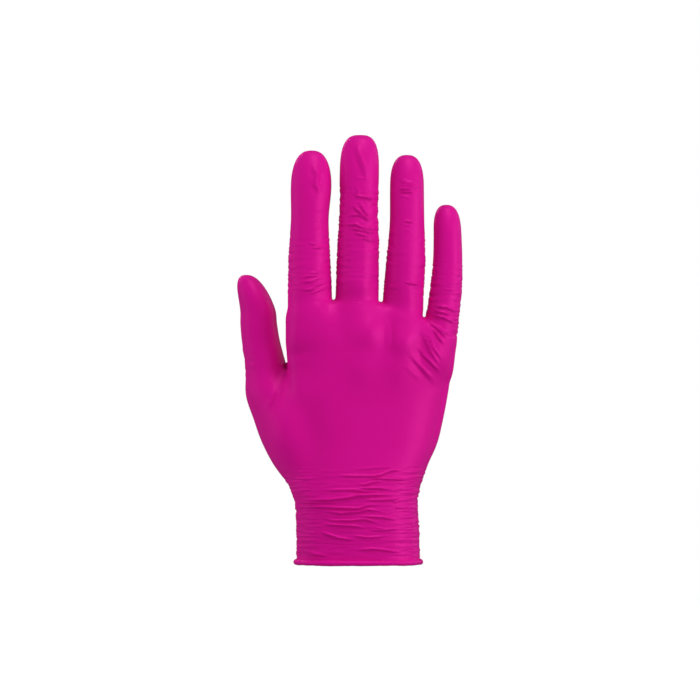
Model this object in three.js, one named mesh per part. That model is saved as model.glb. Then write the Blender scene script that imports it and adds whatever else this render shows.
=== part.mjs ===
// A nitrile exam glove in the form that it takes on a right hand: one dipped film, hollow from the fingertips to the
// wrist, with a rolled bead round the mouth of its cuff. Millimetres. The fingers point up (+Z), the back of the hand
// faces -Y and the thumb is on the -X side. The origin is the middle of the cuff's mouth, level with the bead's foot.
import * as THREE from "three";

const { clamp, degToRad, lerp, smoothstep } = THREE.MathUtils;

// The film and the rolled bead.
const WALL = 1;
const WEB_WALL = 2.2; // along the edge of a web, where the film gathers
const BEAD_DIAMETER = 3.3;
const BEAD_INSIDE = 0.3; // how far the bead stands into the mouth

// The cuff, from the bead's foot to the wrist, and the palm, from the wrist to the webs between the fingers.
const CUFF_LENGTH = 39;
const CUFF_WIDTH = 66;
const CUFF_DEPTH = 46;
const PALM_LENGTH = 102;
const PALM_DEPTH = 28;
const THENAR_LENGTH = 72; // wrist to the web of the thumb

// The digits. A length runs from the web line to the tip, a width is across the hand and a depth from back to palm.
const THUMB_LENGTH = 45.6;
const THUMB_WIDTH = 21;
const THUMB_DEPTH = 23;
const THUMB_REACH = 14; // how far the thumb lies towards the palm side
const INDEX_LENGTH = 82.8;
const INDEX_WIDTH = 22;
const INDEX_DEPTH = 19;
const MIDDLE_LENGTH = 91.2;
const MIDDLE_WIDTH = 21.5;
const MIDDLE_DEPTH = 19.5;
const RING_LENGTH = 83.4;
const RING_WIDTH = 19;
const RING_DEPTH = 18;
const LITTLE_LENGTH = 68.4;
const LITTLE_WIDTH = 15.5;
const LITTLE_DEPTH = 15.5;
const FINGER_GAP = 5;
const THUMB_GAP = 2.7;
const RING_DROP = 3; // how far the ring and little fingers start below the other two
const LITTLE_DROP = 15;
const WEB_RISE = 2; // the top of a web above the mean start of its two fingers
const WEB_HEIGHT = 9; // the rounded edge of the webs
const THUMB_WEB_HEIGHT = 6;
const KNUCKLE_LENGTH = 30; // how far the ridges of the knuckles run down into the hand
const FINGER_CURL = 6; // how far a fingertip bends towards the palm side

// Roundness of the sections and the widths of the blends where two forms meet.
const TRUNK_SQUARENESS = 2.5;
const CAP_LENGTH = 0.93; // the rounded end of a digit, as a share of its width
const FINGER_BLUNTNESS = 2.6;
const MIDDLE_BLUNTNESS = 3;
const THUMB_BLUNTNESS = 2.5;
const FINGER_BLEND = 2.5;
const THUMB_BLEND = 3;
const PAD_BLEND = 9;
const KNUCKLE_BLEND = 5;

// Folds of the film at the wrist.
const FOLD_HEIGHT = 0.9;
const FOLD_WIDTH = 3.2;
const FOLD_REACH = 1.36; // the top of the folded stretch, as a share of the cuff's length

// The mesh: columns across each digit, steps round each side, and rows up each stretch.
const DIGIT_COLUMNS = 3;
const SIDE_STEPS = 6;
const CUFF_ROWS = 20;
const THENAR_ROWS = 9;
const KNUCKLE_ROWS = 6;
const FINGER_ROWS = 11;
const THUMB_ROWS = 7;
const CAP_ANGLES = [20, 38, 55, 71];
const BEAD_STEPS = 8;

const WEB_LINE = CUFF_LENGTH + PALM_LENGTH;
const THUMB_WEB = CUFF_LENGTH + THENAR_LENGTH;

// A reading that keeps its last result, because most rays run level and read one height again and again.
function keepLast(read) {
  let lastAt = NaN;
  let last;
  return (at) => {
    if (at !== lastAt) {
      lastAt = at;
      last = read(at);
    }
    return last;
  };
}

// A table of sections read as smooth curves, one for each column, by the share along the form.
function smoothTable(rows) {
  const columns = Object.keys(rows[0]).filter((name) => name !== "at");
  const curve = new THREE.CubicInterpolant(
    rows.map((row) => row.at),
    rows.flatMap((row) => columns.map((name) => row[name])),
    columns.length,
  );
  return (at) => {
    const values = curve.evaluate(at);
    return Object.fromEntries(columns.map((name, i) => [name, values[i]]));
  };
}

// How far a point lies outside a rounded section, about 0 on its outline. The end of a form is rounded by rise, which
// grows from 0 where the rounding starts to 1 at the very end.
function outsideSection({ x, y, halfWidth, halfDepth, squareness }, point, rise, endSquareness) {
  const across = Math.abs((point.x - x) / halfWidth) ** squareness;
  const through = Math.abs((point.y - y) / halfDepth) ** squareness;
  const ring = (across + through) ** (1 / squareness);
  const whole = (ring ** endSquareness + rise ** endSquareness) ** (1 / endSquareness);
  return (whole - 1) * Math.min(halfWidth, halfDepth);
}

// The union of two forms, with the corner between them filled over the given width.
function blend(a, b, width) {
  const share = Math.max(width - Math.abs(a - b), 0) / width;
  return Math.min(a, b) - (share * share * width) / 4;
}

// The middle of each finger across the hand: they stand side by side, FINGER_GAP apart.
const MIDDLE_X = 0;
const INDEX_X = MIDDLE_X - (MIDDLE_WIDTH + INDEX_WIDTH) / 2 - FINGER_GAP;
const RING_X = MIDDLE_X + (MIDDLE_WIDTH + RING_WIDTH) / 2 + FINGER_GAP;
const LITTLE_X = RING_X + (RING_WIDTH + LITTLE_WIDTH) / 2 + FINGER_GAP;
const HAND_LEFT = INDEX_X - 0.55 * INDEX_WIDTH;
const HAND_RIGHT = LITTLE_X + 0.5 * LITTLE_WIDTH;
const THUMB_X = HAND_LEFT - THUMB_GAP - THUMB_WIDTH / 2;

// The trunk: cuff and palm. at runs from -1 at the bead over 0 at the wrist to 1 at the webs. left and right are shares
// of the way from the cuff's edge to the hand's, front and back of the way from the cuff's depth to the palm's.
const trunkTable = smoothTable([
  { at: -1.0, left: 0.1, right: 0.0, front: 0.0, back: 0.0 },
  { at: -0.5, left: 0.15, right: -0.02, front: 0.0, back: 0.0 },
  { at: -0.15, left: 0.25, right: -0.05, front: 0.05, back: 0.0 },
  { at: 0.0, left: 0.53, right: -0.02, front: 0.12, back: 0.02 },
  { at: 0.13, left: 0.7, right: 0.165, front: 0.35, back: 0.1 },
  { at: 0.25, left: 0.9, right: 0.4, front: 0.6, back: 0.35 },
  { at: 0.38, left: 0.9, right: 0.555, front: 0.75, back: 0.6 },
  { at: 0.51, left: 0.9, right: 0.67, front: 0.85, back: 0.8 },
  { at: 0.64, left: 0.9, right: 0.755, front: 0.9, back: 0.95 },
  { at: 0.77, left: 1.0, right: 0.82, front: 0.95, back: 1.0 },
  { at: 0.9, left: 1.05, right: 0.89, front: 1.1, back: 1.15 },
  { at: 1.0, left: 1.0, right: 0.93, front: 1.3, back: 1.35 },
]);

const trunkSection = keepLast((z) => {
  const share = trunkTable(z < CUFF_LENGTH ? z / CUFF_LENGTH - 1 : (z - CUFF_LENGTH) / PALM_LENGTH);
  const left = lerp(-CUFF_WIDTH / 2, HAND_LEFT, share.left);
  const right = lerp(CUFF_WIDTH / 2, HAND_RIGHT, share.right);
  const front = -lerp(CUFF_DEPTH, PALM_DEPTH, share.front) / 2;
  const back = lerp(CUFF_DEPTH, PALM_DEPTH, share.back) / 2;
  return {
    x: (left + right) / 2,
    y: (front + back) / 2,
    halfWidth: (right - left) / 2,
    halfDepth: (back - front) / 2,
    squareness: TRUNK_SQUARENESS,
  };
});

// A digit: its sections go from -1, deep in the hand, over 0 at its start, to 1 at its tip. x and width are shares of
// the digit's width, front and back of its depth.
class Digit {
  constructor({ x, start, length, root, width, depth, reach, curl, bluntness, sections }) {
    Object.assign(this, { start, bluntness });
    this.tip = start + length;
    this.foot = start - root;
    this.capLength = CAP_LENGTH * width;
    this.capStart = this.tip - this.capLength;
    const table = smoothTable(sections);
    this.section = keepLast((z) => {
      const at = (z - start) / (z < start ? root : length);
      const share = table(at);
      const bend = reach + curl * Math.max(at, 0) ** 2;
      return {
        x: x + share.x * width,
        y: bend + ((share.front + share.back) / 2) * depth,
        halfWidth: (share.width / 2) * width,
        halfDepth: ((share.back - share.front) / 2) * depth,
        squareness: 2,
      };
    });
  }

  outside(point) {
    if (point.z < this.foot) return Infinity;
    const above = (point.z - this.capStart) / this.capLength;
    const below = 1 - (2 * (point.z - this.foot)) / (this.start - this.foot);
    return outsideSection(this.section(point.z), point, Math.max(above, below, 0), this.bluntness);
  }
}

// The side view that the four fingers share, from the ridge of the knuckle to the pad of the fingertip.
const FINGER_SIDE = [
  { at: -1.0, front: -0.55, back: 0.4 },
  { at: -0.6, front: -0.72, back: 0.46 },
  { at: -0.2, front: -0.64, back: 0.52 },
  { at: 0.1, front: -0.52, back: 0.52 },
  { at: 0.33, front: -0.5, back: 0.5 },
  { at: 0.55, front: -0.44, back: 0.46 },
  { at: 0.75, front: -0.4, back: 0.5 },
  { at: 1.0, front: -0.3, back: 0.42 },
];

// The front view of a finger: where its middle runs and how wide it is, given for the heights of FINGER_SIDE.
function fingerSections(middles, widths) {
  return FINGER_SIDE.map((side, i) => ({ ...side, x: middles[i], width: widths[i] }));
}

const index = new Digit({
  x: INDEX_X,
  start: WEB_LINE,
  length: INDEX_LENGTH,
  root: KNUCKLE_LENGTH,
  width: INDEX_WIDTH,
  depth: INDEX_DEPTH,
  reach: 0,
  curl: FINGER_CURL,
  bluntness: FINGER_BLUNTNESS,
  sections: fingerSections(
    [0.1, 0.06, 0.02, 0.01, 0, 0.01, 0.04, 0.05],
    [1.0, 1.05, 1.08, 1.07, 1.02, 0.93, 1.0, 0.95],
  ),
});
const middle = new Digit({
  x: MIDDLE_X,
  start: WEB_LINE,
  length: MIDDLE_LENGTH,
  root: KNUCKLE_LENGTH,
  width: MIDDLE_WIDTH,
  depth: MIDDLE_DEPTH,
  reach: 0,
  curl: FINGER_CURL,
  bluntness: MIDDLE_BLUNTNESS,
  sections: fingerSections(
    [-0.1, -0.08, -0.06, -0.04, -0.02, 0, 0.01, 0.03],
    [1.0, 1.05, 1.08, 1.07, 1.05, 0.97, 0.99, 0.96],
  ),
});
const ring = new Digit({
  x: RING_X,
  start: WEB_LINE - RING_DROP,
  length: RING_LENGTH,
  root: KNUCKLE_LENGTH,
  width: RING_WIDTH,
  depth: RING_DEPTH,
  reach: 0,
  curl: FINGER_CURL,
  bluntness: FINGER_BLUNTNESS,
  sections: fingerSections(
    [-0.2, -0.17, -0.12, -0.06, 0.01, 0.04, 0.04, 0.04],
    [1.0, 1.1, 1.17, 1.15, 1.11, 0.99, 0.97, 0.95],
  ),
});
const little = new Digit({
  x: LITTLE_X,
  start: WEB_LINE - LITTLE_DROP,
  length: LITTLE_LENGTH,
  root: KNUCKLE_LENGTH,
  width: LITTLE_WIDTH,
  depth: LITTLE_DEPTH,
  reach: 0,
  curl: FINGER_CURL,
  bluntness: FINGER_BLUNTNESS,
  sections: fingerSections(
    [-0.56, -0.42, -0.28, -0.16, -0.03, 0.03, 0.03, -0.01],
    [1.1, 1.15, 1.18, 1.17, 1.12, 1.03, 0.98, 0.93],
  ),
});
const FINGERS = [index, middle, ring, little];

const thumb = new Digit({
  x: THUMB_X,
  start: THUMB_WEB,
  length: THUMB_LENGTH,
  root: THENAR_LENGTH,
  width: THUMB_WIDTH,
  depth: THUMB_DEPTH,
  reach: THUMB_REACH,
  curl: 0,
  bluntness: THUMB_BLUNTNESS,
  sections: [
    { at: -1.0, x: 1.35, width: 1.5, front: -0.95, back: 0.25 },
    { at: -0.82, x: 1.15, width: 1.78, front: -1.0, back: 0.35 },
    { at: -0.64, x: 0.95, width: 1.92, front: -1.0, back: 0.45 },
    { at: -0.46, x: 0.69, width: 1.84, front: -0.9, back: 0.48 },
    { at: -0.28, x: 0.38, width: 1.63, front: -0.75, back: 0.48 },
    { at: -0.1, x: 0.12, width: 1.14, front: -0.6, back: 0.48 },
    { at: 0.13, x: -0.02, width: 1.01, front: -0.52, back: 0.48 },
    { at: 0.42, x: -0.11, width: 0.95, front: -0.48, back: 0.5 },
    { at: 0.56, x: -0.125, width: 0.92, front: -0.46, back: 0.5 },
    { at: 0.7, x: -0.2, width: 0.87, front: -0.44, back: 0.5 },
    { at: 1.0, x: -0.43, width: 0.82, front: -0.36, back: 0.42 },
  ],
});

// The edges of the hand where the columns of the mesh part: the thumb's outer edge, the four webs and the outer edge
// of the little finger.
const fingerWebs = FINGERS.slice(1).map((right, i) => {
  const left = FINGERS[i];
  const z = (left.start + right.start) / 2 + WEB_RISE;
  const leftEdge = left.section(z);
  const rightEdge = right.section(z);
  const x = (leftEdge.x + leftEdge.halfWidth + rightEdge.x - rightEdge.halfWidth) / 2;
  return { x, z };
});
const webTop = smoothTable([
  { at: HAND_LEFT, z: index.start },
  ...fingerWebs.map(({ x, z }) => ({ at: x, z })),
  { at: HAND_RIGHT, z: little.start },
]);

function outsideTrunk(point) {
  const start = webTop(point.x).z - WEB_HEIGHT;
  const rise = Math.max((point.z - start) / WEB_HEIGHT, 0);
  return outsideSection(trunkSection(point.z), point, rise, 2);
}

// How far a point lies outside the hand: the trunk, with the thumb and the fingers blended in.
function outsideHand(point) {
  const atThumbWeb = smoothstep(point.z, THUMB_WEB - 0.3 * THENAR_LENGTH, THUMB_WEB);
  const withThumb = blend(outsideTrunk(point), thumb.outside(point), lerp(PAD_BLEND, THUMB_BLEND, atThumbWeb));
  return FINGERS.reduce((outside, finger) => {
    const atWeb = smoothstep(point.z, finger.foot, finger.start - WEB_HEIGHT);
    return blend(outside, finger.outside(point), lerp(KNUCKLE_BLEND, FINGER_BLEND, atWeb));
  }, withThumb);
}

// The point where a ray from inside the hand leaves it.
function cast(origin, direction) {
  const shortest = 0.4;
  const point = new THREE.Vector3();
  const outsideAt = (distance) => outsideHand(point.copy(direction).multiplyScalar(distance).add(origin));
  let near = 0;
  let far = 0;
  for (let value = outsideAt(0); value < 0 && far < PALM_LENGTH; value = outsideAt(far)) {
    near = far;
    far += Math.max(-value / 2, shortest);
  }
  for (let halving = 0; halving < 12; halving++) {
    const half = (near + far) / 2;
    if (outsideAt(half) < 0) near = half;
    else far = half;
  }
  return point;
}

function outwardNormal(point) {
  const step = 0.05;
  const slope = ["x", "y", "z"].map((axis) => {
    const ahead = point.clone();
    const behind = point.clone();
    ahead[axis] += step;
    behind[axis] -= step;
    return outsideHand(ahead) - outsideHand(behind);
  });
  return new THREE.Vector3(...slope).normalize();
}

// The skin: every vertex of the outer face, the way from it through the film to the inner face, and the quads and
// triangles between them. The way runs back along the vertex's ray, so that the two faces never cross.
const skin = { points: [], ways: [], quads: [], triangles: [] };
const FLATTEST_RAY = 0.4; // the least that a ray counts as square on to the film, or a steep place gets too thick

function addVertex(origin, direction, wall = WALL) {
  const point = cast(origin, direction);
  const squareOn = Math.max(outwardNormal(point).dot(direction), FLATTEST_RAY);
  skin.points.push(point);
  skin.ways.push(direction.clone().multiplyScalar(-wall / squareOn));
  return skin.points.length - 1;
}

const FRONT = new THREE.Vector3(0, -1, 0);
const BACK = new THREE.Vector3(0, 1, 0);
const sideAngles = Array.from({ length: SIDE_STEPS - 1 }, (_, i) => Math.PI * ((i + 1) / SIDE_STEPS - 0.5));

// A ring of vertices is four rows: front and back from left to right, left and right from front to back.
// spine(z, share) is a point on the middle line across the form, heights holds the height of each vertex, and its ray
// leaves the form level, or tilted up by the given angle.
function addRing(spine, heights, tilt = 0) {
  const columns = heights.front.length - 1;
  const tilted = (way) => way.clone().multiplyScalar(Math.cos(tilt)).setZ(Math.sin(tilt));
  const face = (zs, direction) => zs.map((z, i) => addVertex(spine(z, i / columns), tilted(direction)));
  const side = (zs, end) =>
    zs.map((z, i) => {
      const way = new THREE.Vector3((end ? 1 : -1) * Math.cos(sideAngles[i]), Math.sin(sideAngles[i]), 0);
      return addVertex(spine(z, end), tilted(way));
    });
  return {
    front: face(heights.front, FRONT),
    back: face(heights.back, BACK),
    left: side(heights.left, 0),
    right: side(heights.right, 1),
  };
}

function levelHeights(z, columns) {
  const row = (count) => Array(count).fill(z);
  return { front: row(columns + 1), back: row(columns + 1), left: row(SIDE_STEPS - 1), right: row(SIDE_STEPS - 1) };
}

function mapRing(rows, change) {
  return Object.fromEntries(Object.entries(rows).map(([name, row]) => [name, row.map(change)]));
}

function loopOf(rows) {
  return [...rows.front, ...rows.right, ...rows.back.toReversed(), ...rows.left.toReversed()];
}

function stitch(lower, upper) {
  const low = loopOf(lower);
  const high = loopOf(upper);
  low.forEach((_, i) => {
    const next = (i + 1) % low.length;
    skin.quads.push([low[i], low[next], high[next], high[i]]);
  });
}

// The vertices over the edge of a web, from front to back.
function addWebChain({ x, y, z, height }) {
  const origin = new THREE.Vector3(x, y, z - height);
  return sideAngles.map((angle) =>
    addVertex(origin, new THREE.Vector3(0, Math.sin(angle), Math.cos(angle)), WEB_WALL),
  );
}

// The part of a ring between two columns, closed by the chains on its left and right.
function partOfRing(rows, from, to, left, right) {
  return { front: rows.front.slice(from, to + 1), back: rows.back.slice(from, to + 1), left, right };
}

// A point on the middle line of a section: -1 is its left edge, 0 its middle and 1 its right edge.
function onSpine(section, place) {
  return new THREE.Vector3(section.x + place * section.halfWidth, section.y, 0);
}

const SPINE_END = 0.45; // where the rows of a digit's front and back end, as a share of its half width
const WEB_END = 0.8; // the same, beside a web

// A digit from its base ring to its tip. The base ring ends in a web on the sides named in webs.
function addDigit(digit, base, rows, webs) {
  const baseHeights = mapRing(base, (vertex) => skin.points[vertex].z);
  let below = base;
  const addAbove = (heights, left, right, tilt = 0) => {
    const spine = (z, share) => onSpine(digit.section(z), lerp(-left, right, share)).setZ(z);
    const above = addRing(spine, heights, tilt);
    stitch(below, above);
    below = above;
  };
  for (let row = 1; row <= rows; row++) {
    const share = row / rows;
    const webEnd = lerp(WEB_END, SPINE_END, smoothstep(share, 0, 0.4));
    const heights = mapRing(baseHeights, (z) => lerp(z, digit.capStart, share));
    addAbove(heights, webs.includes("left") ? webEnd : SPINE_END, webs.includes("right") ? webEnd : SPINE_END);
  }
  const middleZ = (digit.capStart + digit.tip) / 2;
  for (const angle of CAP_ANGLES.map(degToRad)) {
    const end = SPINE_END * Math.cos(angle);
    const z = lerp(digit.capStart, middleZ, Math.sin(angle));
    addAbove(levelHeights(z, DIGIT_COLUMNS), end, end, angle);
  }
  const tip = addVertex(onSpine(digit.section(middleZ), 0).setZ(middleZ), new THREE.Vector3(0, 0, 1));
  loopOf(below).forEach((vertex, i, loop) => {
    skin.triangles.push([vertex, loop[(i + 1) % loop.length], tip]);
  });
}

// The trunk's columns part at these edges. Each is a place across the cuff, as a share of the trunk's middle line, that
// moves over to its web on the way up.
const thumbWebSection = thumb.section(THUMB_WEB);
const thumbWeb = {
  x: (thumbWebSection.x + thumbWebSection.halfWidth + HAND_LEFT) / 2,
  z: THUMB_WEB,
};
const WEBS = [thumbWeb, ...fingerWebs];

// The web of the thumb lies further back than the trunk's middle, where the thumb overlaps the palm.
function thumbWebY(z) {
  const rise = smoothstep(z, CUFF_LENGTH, THUMB_WEB - THUMB_WEB_HEIGHT);
  return lerp(trunkSection(z).y, thumb.section(z).y, 0.75 * rise);
}

const CUFF_END = 0.72; // where the rows of the cuff's front and back end, as a share of its half width
const PALM_END = 0.95; // the same, on the palm beside the thumb's web

function leftEnd(z) {
  const root = onSpine(thumb.section(z), -SPINE_END);
  const share = smoothstep(z, CUFF_LENGTH, CUFF_LENGTH + 0.3 * THENAR_LENGTH);
  return onSpine(trunkSection(z), -CUFF_END).lerp(root, share);
}

function rightEnd(z) {
  const root = onSpine(little.section(z), SPINE_END);
  return onSpine(trunkSection(z), CUFF_END).lerp(root, smoothstep(z, little.foot, little.start - WEB_HEIGHT));
}

function trunkSpine(z, share) {
  const place = share * (WEBS.length + 1);
  const edges = [
    leftEnd(z),
    ...WEBS.map((web, i) => {
      const cuff = leftEnd(0).lerp(rightEnd(0), (i + 1) / (WEBS.length + 1));
      const x = lerp(cuff.x, web.x, smoothstep(z, CUFF_LENGTH / 2, web.z - WEB_HEIGHT));
      return new THREE.Vector3(x, web === thumbWeb ? thumbWebY(z) : trunkSection(z).y, 0);
    }),
    rightEnd(z),
  ];
  const edge = Math.min(Math.floor(place), WEBS.length);
  return edges[edge].lerp(edges[edge + 1], place - edge).setZ(z);
}

// Above the thumb's web the palm's left edge is its own, and turns into the index finger's.
function palmSpine(z, share) {
  const root = onSpine(index.section(z), -SPINE_END);
  const rise = smoothstep(z, THUMB_WEB, index.start - WEB_HEIGHT);
  const left = onSpine(trunkSection(z), -PALM_END).lerp(root, rise).setZ(z);
  const first = 1 / (WEBS.length + 1);
  const second = 2 * first;
  const whole = lerp(first, 1, share);
  return whole >= second
    ? trunkSpine(z, whole)
    : left.lerp(trunkSpine(z, second), (whole - first) / first);
}

// Cuff and thenar: whole rings from the bead to the foot of the thumb's web.
const COLUMNS = (WEBS.length + 1) * DIGIT_COLUMNS;
const beadTop = BEAD_DIAMETER;
const thumbLine = THUMB_WEB - THUMB_WEB_HEIGHT;
const foldTop = CUFF_LENGTH * FOLD_REACH;
const cuffHeights = Array.from({ length: CUFF_ROWS + 1 }, (_, i) => lerp(beadTop, foldTop, i / CUFF_ROWS));
const thenarHeights = Array.from({ length: THENAR_ROWS }, (_, i) =>
  lerp(foldTop, thumbLine, (i + 1) / THENAR_ROWS),
);
const trunkRings = [...cuffHeights, ...thenarHeights].map((z) =>
  addRing(trunkSpine, levelHeights(z, COLUMNS)),
);
trunkRings.slice(1).forEach((upper, i) => stitch(trunkRings[i], upper));

// The thumb leaves the trunk at its web.
const thumbRow = trunkRings.at(-1);
const thumbChain = addWebChain({ ...thumbWeb, y: thumbWebY(thumbLine), height: THUMB_WEB_HEIGHT });
const thumbBase = partOfRing(thumbRow, 0, DIGIT_COLUMNS, thumbRow.left, thumbChain);
addDigit(thumb, thumbBase, THUMB_ROWS, ["right"]);

// The palm goes on up to the line where the fingers part, which follows their webs.
const palmColumns = COLUMNS - DIGIT_COLUMNS;
const partingTable = smoothTable([
  { at: 0, z: index.start - WEB_HEIGHT },
  ...fingerWebs.map((web, i) => ({ at: (i + 1) / 4, z: web.z - WEB_HEIGHT })),
  { at: 1, z: little.start - WEB_HEIGHT },
]);
let palmRing = partOfRing(thumbRow, DIGIT_COLUMNS, COLUMNS, thumbChain, thumbRow.right);
const palmFoot = mapRing(palmRing, (vertex) => skin.points[vertex].z);
const partingRow = Array.from({ length: palmColumns + 1 }, (_, i) => partingTable(i / palmColumns).z);
const parting = {
  front: partingRow,
  back: partingRow,
  left: Array(SIDE_STEPS - 1).fill(partingRow[0]),
  right: Array(SIDE_STEPS - 1).fill(partingRow[palmColumns]),
};
for (let row = 1; row <= KNUCKLE_ROWS; row++) {
  const heights = Object.fromEntries(
    Object.entries(palmFoot).map(([name, feet]) => [
      name,
      feet.map((foot, i) => lerp(foot, parting[name][i], row / KNUCKLE_ROWS)),
    ]),
  );
  const above = addRing(palmSpine, heights);
  stitch(palmRing, above);
  palmRing = above;
}

// Each finger stands on its part of that line, between the webs on its two sides.
const chains = fingerWebs.map(({ x, z }) =>
  addWebChain({ x, y: trunkSection(z - WEB_HEIGHT).y, z, height: WEB_HEIGHT }),
);
FINGERS.forEach((finger, i) => {
  const sides = [palmRing.left, ...chains, palmRing.right];
  const from = i * DIGIT_COLUMNS;
  const base = partOfRing(palmRing, from, from + DIGIT_COLUMNS, sides[i], sides[i + 1]);
  const webs = [finger !== index && "left", finger !== little && "right"];
  addDigit(finger, base, FINGER_ROWS, webs);
});

// The main folds where the cuff bunches at the wrist. Each runs across one face from one place to another: across is 0 at
// the cuff's left edge and 1 at its right, and up is 0 at the bead's foot and 1 at the wrist.
const FOLDS = [
  { face: -1, fromAcross: 0.3, fromUp: 1.22, toAcross: 0.86, toUp: 1.32, height: 0.8 },
  { face: -1, fromAcross: 0.4, fromUp: 1.1, toAcross: 0.95, toUp: 1.14, height: 0.8 },
  { face: -1, fromAcross: 0.02, fromUp: 0.92, toAcross: 0.85, toUp: 1.02, height: 1.0 },
  { face: -1, fromAcross: 0.02, fromUp: 0.79, toAcross: 0.95, toUp: 0.86, height: 1.0 },
  { face: -1, fromAcross: 0.15, fromUp: 0.66, toAcross: 0.9, toUp: 0.65, height: 0.8 },
  { face: -1, fromAcross: 0.15, fromUp: 0.5, toAcross: 0.55, toUp: 0.33, height: 1.0 },
  { face: -1, fromAcross: 0.42, fromUp: 0.48, toAcross: 0.95, toUp: 0.47, height: 0.7 },
  { face: -1, fromAcross: 0.02, fromUp: 0.25, toAcross: 0.36, toUp: 0.14, height: 0.8 },
  { face: -1, fromAcross: 0.4, fromUp: 0.25, toAcross: 0.95, toUp: 0.21, height: 0.7 },
  { face: 1, fromAcross: 0.1, fromUp: 1.16, toAcross: 0.7, toUp: 1.2, height: 0.8 },
  { face: 1, fromAcross: 0.02, fromUp: 1.0, toAcross: 0.95, toUp: 0.96, height: 1.0 },
  { face: 1, fromAcross: 0.1, fromUp: 0.84, toAcross: 0.9, toUp: 0.8, height: 1.0 },
  { face: 1, fromAcross: 0.3, fromUp: 0.62, toAcross: 0.98, toUp: 0.66, height: 0.9 },
  { face: 1, fromAcross: 0.02, fromUp: 0.54, toAcross: 0.6, toUp: 0.46, height: 0.8 },
  { face: 1, fromAcross: 0.45, fromUp: 0.34, toAcross: 0.95, toUp: 0.3, height: 0.8 },
];

// How far the folds lift the film, outwards, at a point of its skin.
function foldLift(point, way) {
  const across = point.x / CUFF_WIDTH + 0.5;
  return FOLDS.filter((fold) => fold.face * way.y < 0).reduce((lift, fold) => {
    const along = (across - fold.fromAcross) / (fold.toAcross - fold.fromAcross);
    const z = lerp(fold.fromUp, fold.toUp, clamp(along, 0, 1)) * CUFF_LENGTH;
    const ends = smoothstep(along, 0, 0.3) * (1 - smoothstep(along, 0.7, 1));
    const ridge = Math.exp(-(((point.z - z) / (FOLD_WIDTH / 2)) ** 2));
    return lift + FOLD_HEIGHT * fold.height * ends * ridge;
  }, 0);
}

// The film: the outer skin, the same skin WALL further in, and the bead that joins them round the mouth.
function filmGeometry() {
  const outer = skin.points.map((point, i) =>
    point.clone().addScaledVector(skin.ways[i], -foldLift(point, skin.ways[i]) / WALL),
  );
  const inner = outer.map((point, i) => point.clone().add(skin.ways[i]));
  const positions = [...outer, ...inner];
  const triangles = [];
  const addQuad = (a, b, c, d) => triangles.push([a, b, c], [a, c, d]);
  for (const [a, b, c, d] of skin.quads) {
    addQuad(a, b, c, d);
    addQuad(outer.length + a, outer.length + d, outer.length + c, outer.length + b);
  }
  for (const [a, b, c] of skin.triangles) {
    triangles.push([a, b, c], [outer.length + b, outer.length + a, outer.length + c]);
  }

  // The bead's section is a circle that starts on the film's outer face and ends on its inner face.
  const mouth = loopOf(trunkRings[0]);
  const radius = BEAD_DIAMETER / 2;
  const centre = radius - WALL - BEAD_INSIDE;
  const startAngle = Math.acos(clamp(-centre / radius, -1, 1));
  const endAngle = -Math.PI * 2 + Math.acos(clamp((-WALL - centre) / radius, -1, 1));
  const rings = [mouth];
  for (let step = 1; step < BEAD_STEPS; step++) {
    const angle = lerp(startAngle, endAngle, step / BEAD_STEPS);
    rings.push(
      mouth.map((vertex) => {
        const outward = skin.ways[vertex].clone().setZ(0).normalize().negate();
        const point = outer[vertex].clone().addScaledVector(outward, centre + radius * Math.cos(angle));
        positions.push(point.setZ(radius + radius * Math.sin(angle)));
        return positions.length - 1;
      }),
    );
  }
  rings.push(mouth.map((vertex) => outer.length + vertex));
  rings.slice(1).forEach((lower, i) => {
    const upper = rings[i];
    upper.forEach((_, j) => {
      const next = (j + 1) % upper.length;
      addQuad(lower[j], lower[next], upper[next], upper[j]);
    });
  });

  const geometry = new THREE.BufferGeometry().setFromPoints(positions);
  geometry.setIndex(triangles.flat());
  geometry.computeVertexNormals();
  return geometry;
}

const film = new THREE.MeshStandardMaterial({ name: "nitrile", color: 0xc81482, roughness: 0.45, metalness: 0 });
const glove = new THREE.Mesh(filmGeometry(), film);
glove.name = "glove";

const part = new THREE.Group();
part.add(glove);

export default part;
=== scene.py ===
"""Looks of a nitrile exam glove in its worn form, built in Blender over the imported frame.

The glove is one dipped film with a rolled bead round its mouth. Tables and sizes are in millimetres on the glove: x
runs from the thumb's side to the little finger's, y from the back of the hand to the palm, and z from the bead's foot
to the fingertips. Meshes are put out in metres.
"""

from __future__ import annotations

import logging
import math
from collections.abc import Callable
from dataclasses import dataclass, field
from enum import Enum

import bpy
import numpy as np
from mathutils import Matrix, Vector
from numpy.typing import NDArray

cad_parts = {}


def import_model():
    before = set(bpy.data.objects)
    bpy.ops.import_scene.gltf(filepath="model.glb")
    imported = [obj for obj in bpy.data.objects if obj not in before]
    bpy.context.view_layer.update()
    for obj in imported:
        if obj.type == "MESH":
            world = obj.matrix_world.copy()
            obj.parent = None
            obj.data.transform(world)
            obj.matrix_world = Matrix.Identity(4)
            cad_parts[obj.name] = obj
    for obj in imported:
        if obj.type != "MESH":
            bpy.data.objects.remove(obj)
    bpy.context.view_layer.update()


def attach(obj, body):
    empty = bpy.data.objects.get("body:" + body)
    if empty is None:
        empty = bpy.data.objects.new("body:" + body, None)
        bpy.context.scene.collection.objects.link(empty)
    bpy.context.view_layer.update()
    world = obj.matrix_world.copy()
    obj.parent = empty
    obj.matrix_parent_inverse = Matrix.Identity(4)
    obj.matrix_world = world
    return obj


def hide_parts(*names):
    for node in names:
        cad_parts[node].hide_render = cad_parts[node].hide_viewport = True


Array = NDArray[np.float64]
Indices = NDArray[np.int64]
Spine = Callable[[Array, Array], Array]

LOG = logging.getLogger("glove")
# Metres in a millimetre.
MM = 0.001
# A section of this squareness is an ellipse.
ELLIPSE = 2.0


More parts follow.
